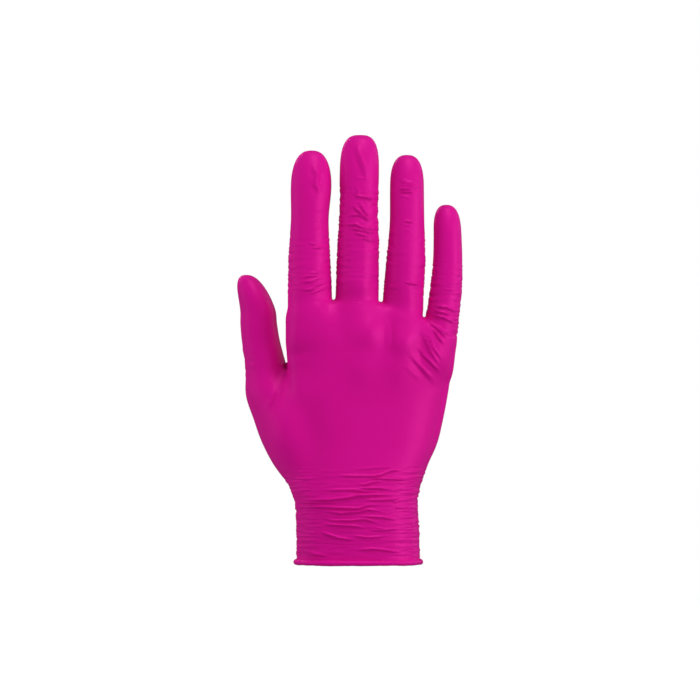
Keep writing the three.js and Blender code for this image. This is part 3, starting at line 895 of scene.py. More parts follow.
@dataclass
class Skin:
    """A fine net of quads and triangles."""

    points: Array
    quads: Indices
    triangles: Indices
    mouth: Indices

    # Vertices that agree over this many steps to the millimetre are one, and the mouth's lie this near its height.
    MERGE = 2000
    NEAR = 1e-3
    # How far a vertex goes towards the middle of its neighbours, and the heights between which it starts to.
    PULL = 0.6
    FREE_HEIGHTS = (55.0, 85.0)

    @classmethod
    def split(
        cls, points: Array, quads: Indices, rows: Indices, triangles: Indices, mouth: Indices, parts: int
    ) -> Skin:
        """Split a coarse net evenly.

        Args:
            points: The coarse vertices.
            quads: Its quads.
            rows: Into how many rows each quad is split.
            triangles: Its triangles.
            mouth: The loop of vertices round the mouth.
            parts: Into how many columns each quad is split.

        Returns:
            The fine net.
        """
        soup, faces, total = [], [], 0
        across = np.arange(parts + 1) / parts
        for count in np.unique(rows):
            u, v = np.meshgrid(across, np.arange(count + 1) / count, indexing="ij")
            corners = points[quads[rows == count]]
            weights = np.stack([(1 - u) * (1 - v), u * (1 - v), u * v, (1 - u) * v], axis=-1)
            grid = np.einsum("uvc,qcx->quvx", weights, corners)
            numbers = total + np.arange(grid.size // 3).reshape(grid.shape[:3])
            faces.append(np.stack(
                [numbers[:, :-1, :-1], numbers[:, 1:, :-1], numbers[:, 1:, 1:], numbers[:, :-1, 1:]], axis=-1
            ).reshape(-1, 4))
            soup.append(grid.reshape(-1, 3))
            total += grid.size // 3
        steps = [(a, b) for a in range(parts + 1) for b in range(parts + 1 - a)]
        place = {step: number for number, step in enumerate(steps)}
        shares = np.array([(parts - a - b, a, b) for a, b in steps]) / parts
        soup.append(np.einsum("sc,tcx->tsx", shares, points[triangles]).reshape(-1, 3))
        cells = [(place[a, b], place[a + 1, b], place[a, b + 1]) for a, b in steps if a + b < parts]
        cells += [
            (place[a + 1, b], place[a + 1, b + 1], place[a, b + 1]) for a, b in steps if a + b < parts - 1
        ]
        base = total + np.arange(len(triangles))[:, None, None] * len(steps)
        small = (base + np.array(cells)[None]).reshape(-1, 3)
        loose = np.concatenate(soup)
        _, first, merged = np.unique(
            np.round(loose * cls.MERGE).astype(np.int64), axis=0, return_index=True, return_inverse=True
        )
        merged = merged.reshape(-1)
        ends = points[mouth]
        loop = np.concatenate([lerp(ends, np.roll(ends, -1, axis=0), share)[None] for share in across[:-1]])
        loop = loop.transpose(1, 0, 2).reshape(-1, 3)
        kept = loose[first]
        low = np.flatnonzero(kept[:, 2] < ends[:, 2].max() + cls.NEAR)
        gaps = np.linalg.norm(kept[low][None] - loop[:, None], axis=2)
        return cls(kept, merged[np.concatenate(faces)], merged[small], low[gaps.argmin(1)])

    def edges(self) -> tuple[Indices, Array]:
        """List the edges.

        Returns:
            Every edge once, and how many neighbours each vertex has, as a column.
        """
        pairs = [self.quads[:, [a, (a + 1) % 4]] for a in range(4)]
        pairs += [self.triangles[:, [a, (a + 1) % 3]] for a in range(3)]
        edges = np.unique(np.sort(np.concatenate(pairs), axis=1), axis=0)
        return edges, np.bincount(edges.ravel(), minlength=len(self.points))[:, None]

    def pull(self, edges: Indices, count: Array, weight: Array) -> None:
        """Move each vertex towards the middle of its neighbours.

        Args:
            edges: Every edge once.
            count: The number of neighbours of each vertex, as a column.
            weight: How free each vertex is, from 0 to 1.
        """
        total = np.zeros_like(self.points)
        for axis in range(3):
            total[:, axis] = np.bincount(edges[:, 0], self.points[edges[:, 1], axis], len(self.points))
            total[:, axis] += np.bincount(edges[:, 1], self.points[edges[:, 0], axis], len(self.points))
        self.points = self.points + self.PULL * weight[:, None] * (total / count - self.points)

    def ease(self, weight: Array, rounds: int) -> None:
        """Smooth the net without holding it to a form.

        Args:
            weight: How free each vertex is, from 0 to 1.
            rounds: How many times each vertex moves towards the middle of its neighbours.
        """
        edges, count = self.edges()
        for _ in range(rounds):
            self.pull(edges, count, weight)

    def relax(self, form: HandForm, rounds: int) -> None:
        """Even out the net on its form, and leave the mouth's row and the ones above it level.

        Args:
            form: The form that the net lies on.
            rounds: How many times each vertex moves towards the middle of its neighbours.
        """
        edges, count = self.edges()
        free = smoothstep(self.points[:, 2], *self.FREE_HEIGHTS)
        for turn in range(rounds):
            self.pull(edges, count, free)
            if turn % 2:
                self.points = form.settle(self.points, 1)
        self.points = form.settle(self.points, 2)


# The part of a normal along y from which the film counts as facing that way.
FULL_FACING = 0.4


class Face(Enum):
    """The two faces of the worn glove, with the sign of y there."""

    BACK = -1.0
    PALM = 1.0

    def weight(self, normals: Array) -> Array:
        """Return 1 where the film faces this way, and less towards the hand's edges."""
        return smoothstep(self.value * normals[:, 1], 0.0, FULL_FACING)


@dataclass(frozen=True)
class Fold:
    """A crease of the film: a soft ridge along a few points across the glove and up it."""

    height: float
    width: float
    path: tuple[tuple[float, float], ...]

    STRENGTH = 2.0
    # How many widths away from its path the crease still counts.
    REACH = 2.0
    # The shares of its length where it has risen and starts to fall.
    RISEN, FALLING = 0.3, 0.65
    # The crest and the trough below it across the path: their heights, middles and widths in half widths.
    PROFILE = ((1.0, 0.1, 0.8), (-0.35, -1.3, 0.85))

    def near(self, x: Array, z: Array) -> NDArray[np.bool_]:
        """Tell which places lie in the crease's reach.

        Args:
            x: Places across the glove.
            z: Places up it.

        Returns:
            Yes or no for each place.
        """
        path, reach = np.array(self.path), self.REACH * self.width
        low, high = path.min(0) - reach, path.max(0) + reach
        return (x > low[0]) & (x < high[0]) & (z > low[1]) & (z < high[1])

    def lift(self, x: Array, z: Array) -> Array:
        """Measure how far the ridge lifts the film.

        Args:
            x: Places across the glove.
            z: Places up it.

        Returns:
            One height for each place.
        """
        path = np.array(self.path)
        steps = np.diff(path, axis=0)
        lengths = np.hypot(*steps.T)
        total = lengths.sum()
        starts = np.concatenate([[0.0], np.cumsum(lengths)[:-1]])
        place = np.stack([x, z], axis=-1)
        nearest = np.full(len(x), np.inf)
        along = np.zeros(len(x))
        above = np.zeros(len(x))
        for start, step, length, before in zip(path[:-1], steps, lengths, starts, strict=True):
            offset = place - start
            share = np.clip(offset @ step / length**2, 0, 1)
            gap = offset - share[:, None] * step
            distance = np.hypot(*gap.T)
            closer = distance < nearest
            nearest = np.where(closer, distance, nearest)
            along = np.where(closer, (before + share * length) / total, along)
            above = np.where(closer, np.sign(gap[:, 1] + 1e-9), above)
        ends = smoothstep(along, 0, self.RISEN) * (1 - smoothstep(along, self.FALLING, 1))
        side = nearest * above / (self.width / 2)
        ridge = sum(height * np.exp(-(((side - middle) / width) ** 2)) for height, middle, width in self.PROFILE)
        return self.STRENGTH * self.height * ends * ridge


# The creases on the back of the hand: in the cuff and at the wrist, on the fingers, and at the roots of the little
# finger and of the thumb.
FRONT_FOLDS = (
    Fold(0.12, 1.6, ((-4.1, 51.2), (12.5, 52.8), (21.9, 52.5))),
    Fold(0.40, 1.3, ((3.7, 47.1), (12.5, 49.0), (17.4, 51.2), (23.3, 51.1))),
    Fold(0.32, 1.2, ((-14.0, 48.2), (-4.1, 48.0), (8.1, 48.0), (14.6, 49.6))),
    Fold(0.34, 1.2, ((2.6, 45.5), (8.6, 46.8), (23.5, 46.3), (28.5, 46.8))),
    Fold(0.34, 1.1, ((-1.3, 43.5), (3.1, 43.5), (8.6, 45.2), (15.2, 45.7))),
    Fold(0.44, 1.2, ((-1.8, 41.6), (10.3, 41.6), (18.0, 41.0))),
    Fold(0.37, 1.6, ((-20.6, 40.5), (-4.1, 40.8), (4.2, 40.0), (11.4, 39.9))),
    Fold(0.15, 1.4, ((-32.1, 40.2), (-24.4, 40.8))),
    Fold(0.48, 1.5, ((-31.6, 35.5), (-15.1, 35.5), (-7.3, 36.4), (-0.2, 37.7), (12.5, 38.1), (23.5, 37.5))),
    Fold(0.29, 1.2, ((-31.6, 33.9), (-20.6, 33.9), (-8.4, 33.9))),
    Fold(0.34, 1.2, ((2.6, 35.3), (12.5, 35.3), (23.5, 36.4))),
    Fold(0.48, 1.5, ((-32.7, 31.4), (-20.6, 31.7), (-11.8, 31.2), (-0.2, 30.9), (4.2, 32.5), (12.5, 32.8))),
    Fold(0.41, 1.4, ((-21.7, 29.5), (-9.6, 28.4), (0.4, 29.2), (4.8, 30.3), (16.9, 28.4))),
    Fold(0.41, 1.3, ((-2.4, 26.5), (4.8, 26.7), (12.5, 26.2), (21.3, 24.5))),
    Fold(0.41, 1.3, ((-21.1, 26.5), (-14.0, 24.5), (-2.9, 24.5), (3.1, 25.3), (10.3, 22.9), (13.6, 21.5))),
    Fold(0.44, 1.3, ((-20.6, 22.9), (-11.8, 22.0), (-1.8, 21.5), (4.8, 19.8))),
    Fold(0.32, 1.2, ((5.3, 19.3), (11.4, 19.3), (18.0, 19.8), (23.5, 19.3))),
    Fold(0.46, 1.4, ((-21.1, 18.7), (-11.8, 15.4), (-1.8, 13.8))),
    Fold(0.34, 1.3, ((-4.1, 16.5), (4.2, 15.4), (15.8, 16.0))),
    Fold(0.41, 1.4, ((-2.4, 8.3), (7.0, 9.4), (12.5, 8.8), (23.5, 7.2))),
    Fold(0.41, 1.5, ((-31.6, 9.9), (-24.9, 6.6), (-15.1, 5.2))),
    Fold(0.15, 1.3, ((-34.3, 46.8), (-24.9, 46.3))),
    Fold(0.23, 1.0, ((17.9, 34.2), (21.1, 34.5))),
    Fold(0.23, 1.0, ((19.5, 30.9), (23.3, 31.2))),
    Fold(0.23, 1.0, ((8.2, 20.8), (13.6, 19.9))),
    Fold(0.12, 1.2, ((-24.2, 190.6), (-19.2, 190.3))),
    Fold(0.12, 1.2, ((-23.5, 185.1), (-18.6, 184.4))),
    Fold(0.15, 1.2, ((-25.4, 181.0), (-19.2, 181.3))),
    Fold(0.30, 1.1, ((-27.9, 173.6), (-21.7, 172.0))),
    Fold(0.33, 1.1, ((-25.4, 170.8), (-18.9, 170.8))),
    Fold(0.33, 1.1, ((-27.3, 157.1), (-19.2, 157.1))),
    Fold(0.33, 1.1, ((-31.6, 154.1), (-26.7, 155.6), (-19.2, 155.9))),
    Fold(0.36, 1.1, ((-31.6, 152.2), (-26.0, 152.5), (-22.3, 154.1), (-18.3, 154.2))),
    Fold(0.36, 1.2, ((-31.6, 147.9), (-26.0, 147.9), (-22.3, 150.9), (-18.3, 151.7))),
    Fold(0.30, 1.2, ((-26.7, 145.4), (-21.7, 147.9), (-17.8, 148.8))),
    Fold(0.54, 1.3, ((-2.5, 204.9), (0.0, 201.2), (-1.2, 198.7), (2.5, 198.3), (6.2, 197.4), (8.7, 192.5))),
    Fold(0.57, 1.3, ((-3.7, 194.0), (2.5, 188.1), (7.5, 183.2))),
    Fold(0.54, 1.3, ((0.0, 196.2), (2.5, 191.2), (5.6, 186.9), (9.0, 185.7))),
    Fold(0.45, 1.2, ((-6.2, 188.1), (0.0, 188.5), (5.0, 185.7))),
    Fold(0.54, 1.2, ((-7.5, 182.8), (-1.9, 183.5), (2.5, 181.3), (7.5, 181.0), (10.2, 181.9))),
    Fold(0.51, 1.2, ((-5.0, 181.3), (2.5, 180.1), (9.9, 178.2))),
    Fold(0.45, 1.2, ((-3.7, 179.4), (3.7, 177.0), (8.7, 175.7))),
    Fold(0.33, 1.2, ((0.6, 176.4), (8.7, 173.9))),
    Fold(0.15, 1.4, ((-2.5, 208.6), (5.0, 208.0))),
    Fold(0.55, 3.2, ((-1.5, 227.0), (0.3, 221.0), (2.5, 214.2), (3.4, 210.4), (4.5, 207.0))),
    Fold(0.52, 3.0, ((-25.5, 216.0), (-22.5, 210.0), (-23.0, 204.0), (-20.5, 199.0))),
    Fold(0.48, 1.3, ((21.7, 207.4), (26.6, 205.8), (31.6, 205.5))),
    Fold(0.42, 1.2, ((21.1, 204.9), (28.5, 204.0), (34.1, 204.2))),
    Fold(0.51, 1.2, ((21.1, 202.7), (30.3, 202.4))),
    Fold(0.45, 1.2, ((21.7, 201.2), (30.3, 200.8))),
    Fold(0.18, 1.2, ((22.3, 199.0), (27.9, 197.4))),
    Fold(0.39, 1.2, ((24.1, 185.1), (29.8, 184.7))),
    Fold(0.15, 1.2, ((23.3, 183.1), (29.2, 182.9))),
    Fold(0.15, 1.2, ((24.8, 180.1), (28.5, 179.8))),
    Fold(0.39, 1.2, ((24.1, 152.2), (31.6, 150.9))),
    Fold(0.15, 1.2, ((45.3, 148.4), (52.7, 147.9))),
    Fold(0.51, 1.2, ((41.0, 139.3), (47.1, 138.7), (52.6, 136.0))),
    Fold(0.45, 1.2, ((40.0, 137.1), (49.8, 134.9))),
    Fold(0.51, 1.3, ((39.4, 134.6), (44.9, 133.5), (52.6, 129.4))),
    Fold(0.63, 1.4, ((35.5, 132.4), (41.6, 127.7), (48.2, 121.7))),
    Fold(0.51, 1.3, ((39.4, 128.3), (42.7, 122.8), (46.0, 118.4))),
    Fold(0.45, 1.2, ((42.1, 129.4), (45.4, 125.6), (49.2, 123.4))),
    Fold(0.4, 1.4, ((33.9, 131.6), (35.5, 122.8), (39.4, 113.9), (44.0, 106.0))),
    Fold(0.35, 1.3, ((36.5, 127.0), (40.0, 117.0), (46.5, 108.5))),
    Fold(0.4, 1.5, ((31.0, 120.0), (35.0, 113.0), (38.3, 109.6), (46.3, 101.1))),
    Fold(0.5, 1.8, ((26.4, 116.6), (30.5, 110.0), (36.0, 103.8), (43.8, 95.7))),
    Fold(0.25, 1.3, ((24.0, 108.0), (29.0, 103.0), (34.0, 98.5))),
    Fold(0.5, 1.5, ((-45.4, 97.0), (-46.6, 91.0), (-48.3, 83.0))),
    Fold(0.5, 1.4, ((-43.2, 96.0), (-43.8, 90.0), (-44.5, 83.6))),
)


@dataclass(frozen=True)
class Mound:
    """A broad soft form of the hand under the film, high or hollow, on the back of the hand or on the palm."""

    height: float
    x: float
    z: float
    reach_x: float
    reach_z: float

    def lift(self, x: Array, z: Array) -> Array:
        """Return how far the mound lifts the film at places across and up the glove."""
        return self.height * np.exp(-(((x - self.x) / self.reach_x) ** 2) - ((z - self.z) / self.reach_z) ** 2)


# The ridge down the back and the hollows beside it, the knuckles with the hollows between them, and low ridges along
# the fingers.
FRONT_MOUNDS = (
    Mound(4.2, -20.0, 76.0, 30.0, 42.0),
    Mound(-2.4, -25.0, 68.0, 8.5, 24.0),
    Mound(-3.0, 48.0, 85.0, 18.0, 36.0),
    Mound(-2.0, -53.0, 72.0, 15.0, 26.0),
    Mound(1.6, -42.0, 72.0, 11.0, 20.0),
    Mound(-2.4, -41.5, 98.0, 5.5, 13.0),
    Mound(2.7, 4.0, 125.0, 8.0, 8.5),
    Mound(2.1, 1.0, 108.0, 10.0, 12.0),
    Mound(2.3, 23.0, 120.0, 6.5, 7.5),
    Mound(1.4, 21.5, 106.0, 8.0, 10.0),
    Mound(0.8, -24.0, 134.0, 8.0, 8.0),
    Mound(2.0, -27.0, 147.0, 8.0, 13.0),
    Mound(2.3, 0.0, 147.0, 8.0, 13.0),
    Mound(2.3, 25.5, 143.0, 7.0, 13.0),
    Mound(1.6, 46.0, 131.0, 6.0, 11.0),
    Mound(0.9, 42.0, 111.0, 6.0, 8.0),
    Mound(-1.3, 15.5, 124.0, 4.4, 11.0),
    Mound(-1.2, 33.5, 115.0, 4.0, 8.0),
    Mound(-0.6, -11.0, 130.0, 4.5, 10.0),
    Mound(0.7, -21.0, 139.0, 3.5, 3.5),
    Mound(0.5, -23.0, 209.0, 2.6, 7.0),
    Mound(0.7, -25.5, 190.0, 4.5, 24.0),
    Mound(0.8, 24.5, 172.0, 4.0, 22.0),
    Mound(0.5, 1.5, 168.0, 4.5, 18.0),
)
# The creases on the palm: at the finger joints, across the palm, round the root of the thumb and in the cuff.
PALM_FOLDS = (
    Fold(0.3, 1.8, ((-31.0, 176.0), (-25.0, 174.6), (-18.5, 175.6))),
    Fold(0.3, 1.8, ((-32.5, 156.0), (-26.0, 154.4), (-18.0, 155.0))),
    Fold(0.3, 1.8, ((-7.0, 182.0), (0.5, 180.6), (8.0, 181.6))),
    Fold(0.3, 1.8, ((-8.0, 160.0), (-0.5, 158.6), (8.0, 159.4))),
    Fold(0.3, 1.8, ((19.0, 174.0), (26.5, 172.8), (33.0, 173.6))),
    Fold(0.3, 1.8, ((17.0, 152.0), (25.0, 151.0), (32.5, 151.4))),
    Fold(0.3, 1.7, ((43.0, 157.0), (49.0, 156.0), (54.0, 156.8))),
    Fold(0.3, 1.7, ((41.5, 139.0), (47.0, 138.0), (52.0, 138.6))),
    Fold(0.4, 2.6, ((-30.0, 112.0), (-16.0, 106.0), (-6.0, 92.0), (-4.0, 72.0), (-10.0, 58.0))),
    Fold(0.35, 2.4, ((-22.0, 121.0), (-4.0, 112.0), (16.0, 102.0), (32.0, 94.0))),
    Fold(0.35, 2.4, ((-6.0, 127.0), (10.0, 117.0), (28.0, 110.0), (38.0, 111.0))),
    Fold(0.35, 1.8, ((-24.0, 52.0), (-6.0, 50.4), (14.0, 51.6), (24.0, 50.0))),
    Fold(0.35, 1.8, ((-20.0, 46.6), (0.0, 45.4), (20.0, 46.2))),
    Fold(0.35, 1.7, ((-26.0, 40.0), (-8.0, 41.2), (10.0, 39.6))),
    Fold(0.35, 1.7, ((-10.0, 33.6), (8.0, 32.6), (24.0, 34.0))),
    Fold(0.3, 1.7, ((-24.0, 27.0), (-4.0, 25.6), (12.0, 26.6))),
    Fold(0.3, 1.7, ((-6.0, 17.6), (12.0, 16.4), (26.0, 18.0))),
    Fold(0.3, 1.7, ((-26.0, 12.0), (-8.0, 10.4), (6.0, 11.2))),
)
# The ball of the thumb, the outer edge of the palm, the hollow between them, and the pads below the fingers.
PALM_MOUNDS = (
    Mound(2.2, -30.0, 78.0, 14.0, 22.0),
    Mound(1.8, 34.0, 75.0, 12.0, 26.0),
    Mound(-2.2, 2.0, 92.0, 16.0, 20.0),
    Mound(1.2, -24.0, 128.0, 8.0, 6.0),
    Mound(1.2, -1.0, 128.0, 8.0, 6.0),
    Mound(1.2, 23.0, 125.0, 8.0, 6.0),
)


@dataclass(frozen=True)
class NodeBench:
    """A node tree to which each node is added with its settings and inputs in one call."""

    tree: bpy.types.NodeTree

    def add(self, kind: str, inputs: dict[str | int, object] | None = None, **settings: object) -> bpy.types.Node:
        """Add a node.

        Args:
            kind: Its type.
            inputs: What its inputs get, by their names or numbers.
            settings: Its own settings.

        Returns:
            The node.
        """
        node = self.tree.nodes.new(kind)
        for name, value in settings.items():
            setattr(node, name, value)
        self.feed(node, inputs or {})
        return node

    def feed(self, node: bpy.types.Node, inputs: dict[str | int, object]) -> None:
        """Fill inputs of a node.

        Args:
            node: The node.
            inputs: For each name or number, the output that it is linked to, or its constant value.
        """
        for name, value in inputs.items():
            if isinstance(value, bpy.types.NodeSocket):
                self.tree.links.new(value, node.inputs[name])
            else:
                node.inputs[name].default_value = value

    def swing(self, inputs: dict[str | int, object]) -> bpy.types.NodeSocket:
        """Add a noise that swings between -1 and 1.

        Args:
            inputs: What the noise's inputs get.

        Returns:
            The output with its value.
        """
        noise = self.add("ShaderNodeTexNoise", noise_dimensions="4D")
        self.feed(noise, inputs)
        middle = {"From Min": 0.3, "From Max": 0.7, "To Min": -1.0}
        return self.add("ShaderNodeMapRange", {"Value": noise.outputs[0], **middle}).outputs[0]


class ShapeTree:
    """A Geometry Nodes tree with named inputs, which ends in real geometry with its material."""

    def __init__(self, name: str, sizes: dict[str, float | int]) -> None:
        """Start the tree.

        Args:
            name: Its name.
            sizes: Its named inputs and their values.
        """
        self.sizes = sizes
        self.tree = bpy.data.node_groups.new(name, "GeometryNodeTree")
        face = self.tree.interface
        face.new_socket("Geometry", in_out="INPUT", socket_type="NodeSocketGeometry")
        for size, value in sizes.items():
            kind = "NodeSocketInt" if isinstance(value, int) else "NodeSocketFloat"
            face.new_socket(size, in_out="INPUT", socket_type=kind).default_value = value
        face.new_socket("Material", in_out="INPUT", socket_type="NodeSocketMaterial")
        face.new_socket("Geometry", in_out="OUTPUT", socket_type="NodeSocketGeometry")
        self.bench = NodeBench(self.tree)
        self.given = self.bench.add("NodeGroupInput").outputs

    def end(self, geometry: bpy.types.NodeSocket) -> None:
        """Make the geometry real, give it its material and put it out.

        Args:
            geometry: The output that carries it.
        """
        real = self.bench.add("GeometryNodeRealizeInstances", {0: geometry})
        dressed = self.bench.add(
            "GeometryNodeSetMaterial", {"Geometry": real.outputs[0], "Material": self.given["Material"]}
        )
        self.bench.add("NodeGroupOutput", {0: dressed.outputs[0]})

    def run(self, item: bpy.types.Object, finish: bpy.types.Material) -> bpy.types.Mesh:
        """Run the tree on an object, which stays as it is.

        Args:
            item: The object.
            finish: The material of the result.

        Returns:
            The result as a plain mesh.
        """
        values = {"Material": finish, **self.sizes}
        modifier = item.modifiers.new(self.tree.name, "NODES")
        modifier.node_group = self.tree
        for socket in self.tree.interface.items_tree:
            if socket.item_type == "SOCKET" and socket.in_out == "INPUT" and socket.name in values:
                modifier[socket.identifier] = values[socket.name]
        bpy.context.view_layer.update()
        graph = bpy.context.evaluated_depsgraph_get()
        mesh = bpy.data.meshes.new_from_object(item.evaluated_get(graph), depsgraph=graph)
        item.modifiers.remove(modifier)
        return mesh


class Gathers(ShapeTree):
    """Fine gathers of the film, which move it along its own normals."""

    MASK = "gather"

    def __init__(self, height: float = 0.00045, spacing: float = 0.0016, length: float = 0.014) -> None:
        """Build the tree.

        Args:
            height: How high the gathers rise, in metres.
            spacing: How far apart they lie up the glove, in metres.
            length: How far they run across it, in metres.
        """
        super().__init__("fine gathers", {"Height": height, "Spacing": spacing, "Length": length, "Seed": 3.0})
        add, given = self.bench.add, self.given
        shares = {
            axis: add("ShaderNodeMath", {0: 1.0, 1: given[size]}, operation="DIVIDE").outputs[0]
            for axis, size in (("X", "Length"), ("Y", "Length"), ("Z", "Spacing"))
        }
        stretch, place = add("ShaderNodeCombineXYZ", shares), add("GeometryNodeInputPosition")
        scaled = add("ShaderNodeVectorMath", {0: place.outputs[0], 1: stretch.outputs[0]}, operation="MULTIPLY")
        lift = self.bench.swing(
            {"Scale": 1.0, "Detail": 2.0, "Roughness": 0.6, "Vector": scaled.outputs[0], "W": given["Seed"]}
        )
        mask = add("GeometryNodeInputNamedAttribute", {"Name": self.MASK}, data_type="FLOAT")
        for factor in (mask.outputs["Attribute"], given["Height"]):
            lift = add("ShaderNodeMath", {0: lift, 1: factor}, operation="MULTIPLY").outputs[0]
        normal = add("GeometryNodeInputNormal")
        along = add("ShaderNodeVectorMath", {0: normal.outputs[0], "Scale": lift}, operation="SCALE")
        moved = add("GeometryNodeSetPosition", {"Geometry": given["Geometry"], "Offset": along.outputs[0]})
        self.end(moved.outputs[0])

    def apply(self, piece: bpy.types.Object, finish: bpy.types.Material) -> None:
        """Gather the film of a piece for good.

        Args:
            piece: The piece, with a vertex attribute that says how strongly it gathers.
            finish: Its material.
        """
        plain = piece.data
        piece.data = self.run(piece, finish)
        bpy.data.meshes.remove(plain)
        piece.data.name = piece.name


@dataclass(frozen=True)
class Stretch:
    """A part of the glove where the film gathers, from its left and right sides to its foot and top."""

    left: float
    right: float
    low: float
    high: float
    strength: float

    FADE = 8.0

    def weight(self, x: Array, z: Array) -> Array:
        """Return how strongly the film gathers at places across and up the glove."""
        up = smoothstep(z, self.low, self.low + self.FADE) * (1 - smoothstep(z, self.high - self.FADE, self.high))
        return self.strength * (up * ((x > self.left) & (x < self.right)))


@dataclass
class GloveFilm:
    """The dipped film: a fine outer skin, a coarser inner skin, and the strip that joins them at the mouth."""

    form: HandForm
    finish: bpy.types.Material
    outer_parts: int = 4
    inner_parts: int = 1
    relax_rounds: int = 8
    ease_rounds: int = 70
    stretches: tuple[Stretch, ...] = (
        Stretch(-40.0, 40.0, -10.0, 56.0, 1.0),
        Stretch(-40.0, -14.0, 142.0, 182.0, 0.8),
        Stretch(-13.0, 12.5, 146.0, 208.0, 1.0),
        Stretch(12.5, 36.0, 140.0, 184.0, 0.7),
        Stretch(36.0, 62.0, 118.0, 168.0, 0.8),
        Stretch(-70.0, -46.0, 96.0, 122.0, 0.5),
    )

    FOLDS = {Face.BACK: FRONT_FOLDS, Face.PALM: PALM_FOLDS}
    MOUNDS = {Face.BACK: FRONT_MOUNDS, Face.PALM: PALM_MOUNDS}
    # Where the net is eased over the roots of the fingers: it fades in over the first two heights and out over the
    # last two, and the thumb's side is left out.
    EASED_HEIGHTS = (92.0, 104.0, 142.0, 154.0)
    EASED_ACROSS = (-34.0, -26.0)
    EASED_FACING = (0.6, 0.9)
    # How gathers grow towards the edges of the hand, and how far over the mouth they start.
    EDGE_FACING = (0.3, 0.9)
    FACE_STRENGTH = 0.4
    MOUTH_FADE = (3.3, 6.0)

    def broad(self, points: Array, normals: Array) -> Array:
        """Measure how far the hand's broad forms lift the film, outwards.

        Args:
            points: Points of a skin.
            normals: The directions straight out of the form there.

        Returns:
            One height for each point.
        """
        lift = np.zeros(len(points))
        for face, mounds in self.MOUNDS.items():
            weight = face.weight(normals)
            for mound in mounds:
                lift += weight * mound.lift(points[:, 0], points[:, 2])
        return lift

    def creased(self, points: Array, normals: Array) -> Array:
        """Measure how far the creases lift the film, outwards.

        Args:
            points: Points of a skin.
            normals: The directions straight out of the form there.

        Returns:
            One height for each point.
        """
        x, z = points[:, 0], points[:, 2]
        lift = np.zeros(len(points))
        for face, folds in self.FOLDS.items():
            weight = face.weight(normals)
            for fold in folds:
                near = (weight > 0) & fold.near(x, z)
                lift[near] += fold.lift(x[near], z[near]) * weight[near]
        return lift

    def normals(self, points: Array) -> Array:
        """Return the directions straight out of the form at points."""
        slope = self.form.slope(points)
        return slope / np.linalg.norm(slope, axis=1, keepdims=True)

    def gather_mask(self, points: Array, normals: Array) -> Array:
        """Work out how strongly the film gathers, most of all at the hand's edges.

        Args:
            points: Points of the outer skin.
            normals: The directions straight out of the form there.

        Returns:
            One share for each point, from 0 to 1.
        """
        x, z = points[:, 0], points[:, 2]
        mask = np.max([stretch.weight(x, z) for stretch in self.stretches], axis=0)
        edge = lerp(self.FACE_STRENGTH, 1.0, smoothstep(np.abs(normals[:, 0]), *self.EDGE_FACING))
        return mask * edge * smoothstep(z, *self.MOUTH_FADE)

    def smooth(self, skin: Skin) -> None:
        """Lay a skin evenly on the form, and ease it where the fingers grow out of the hand.

        Args:
            skin: The outer skin.
        """
        skin.points = self.form.settle(skin.points)
        skin.relax(self.form, self.relax_rounds)
        facing = smoothstep(np.abs(self.normals(skin.points)[:, 1]), *self.EASED_FACING)
        height = skin.points[:, 2]
        knuckles = smoothstep(height, *self.EASED_HEIGHTS[:2]) * (1 - smoothstep(height, *self.EASED_HEIGHTS[2:]))
        skin.ease(facing * knuckles * smoothstep(skin.points[:, 0], *self.EASED_ACROSS), self.ease_rounds)

    def rim(self, outer: Indices, inner: Indices) -> Indices:
        """Join the two skins round the mouth.

        Args:
            outer: The outer skin's loop.
            inner: The inner skin's loop.

        Returns:
            The triangles between them.
        """
        ratio = self.outer_parts // self.inner_parts
        near = outer.reshape(-1, ratio)
        ends = np.roll(near[:, 0], -1)
        chain = np.concatenate([near, ends[:, None]], axis=1)
        strip = [np.stack([chain[:, step + 1], chain[:, step], inner], axis=-1) for step in range(ratio)]
        strip.append(np.stack([ends, inner, np.roll(inner, -1)], axis=-1))
        return np.concatenate(strip)

    def build(self) -> tuple[bpy.types.Object, Array]:
        """Build the film.

        Returns:
            The film's object, and the mouth's loop of points in metres.
        """
        cage = Cage(self.form)
        cage.build()
        points, ways = cage.points()
        quads, rows, tips = np.concatenate(cage.quads), np.concatenate(cage.parts), np.concatenate(cage.tips)
        outer = Skin.split(points, quads, rows, tips, cage.mouth, self.outer_parts)
        self.smooth(outer)
        square = self.normals(points)
        inside = points + ways + square * self.broad(points, square)[:, None]
        inner = Skin.split(inside, quads, np.ones_like(rows), tips, cage.mouth, self.inner_parts)

        normals = self.normals(outer.points)
        lift = self.broad(outer.points, normals) + self.creased(outer.points, normals)
        lifted = outer.points + normals * lift[:, None]
        count = len(lifted)
        faces = [
            *outer.quads.tolist(), *outer.triangles.tolist(),
            *(inner.quads[:, ::-1] + count).tolist(), *(inner.triangles[:, ::-1] + count).tolist(),
            *self.rim(outer.mouth, inner.mouth + count).tolist(),
        ]
        mesh = bpy.data.meshes.new("film")
        mesh.from_pydata((np.concatenate([lifted, inner.points]) * MM).tolist(), [], faces)
        mesh.polygons.foreach_set("use_smooth", [True] * len(mesh.polygons))
        mask = np.concatenate([self.gather_mask(outer.points, normals), np.zeros(len(inner.points))])
        mesh.attributes.new(Gathers.MASK, "FLOAT", "POINT").data.foreach_set("value", mask)
        mesh.update()
        film = bpy.data.objects.new("film", mesh)
        bpy.context.scene.collection.objects.link(film)
        Gathers().apply(film, self.finish)
        return film, lifted[outer.mouth] * MM


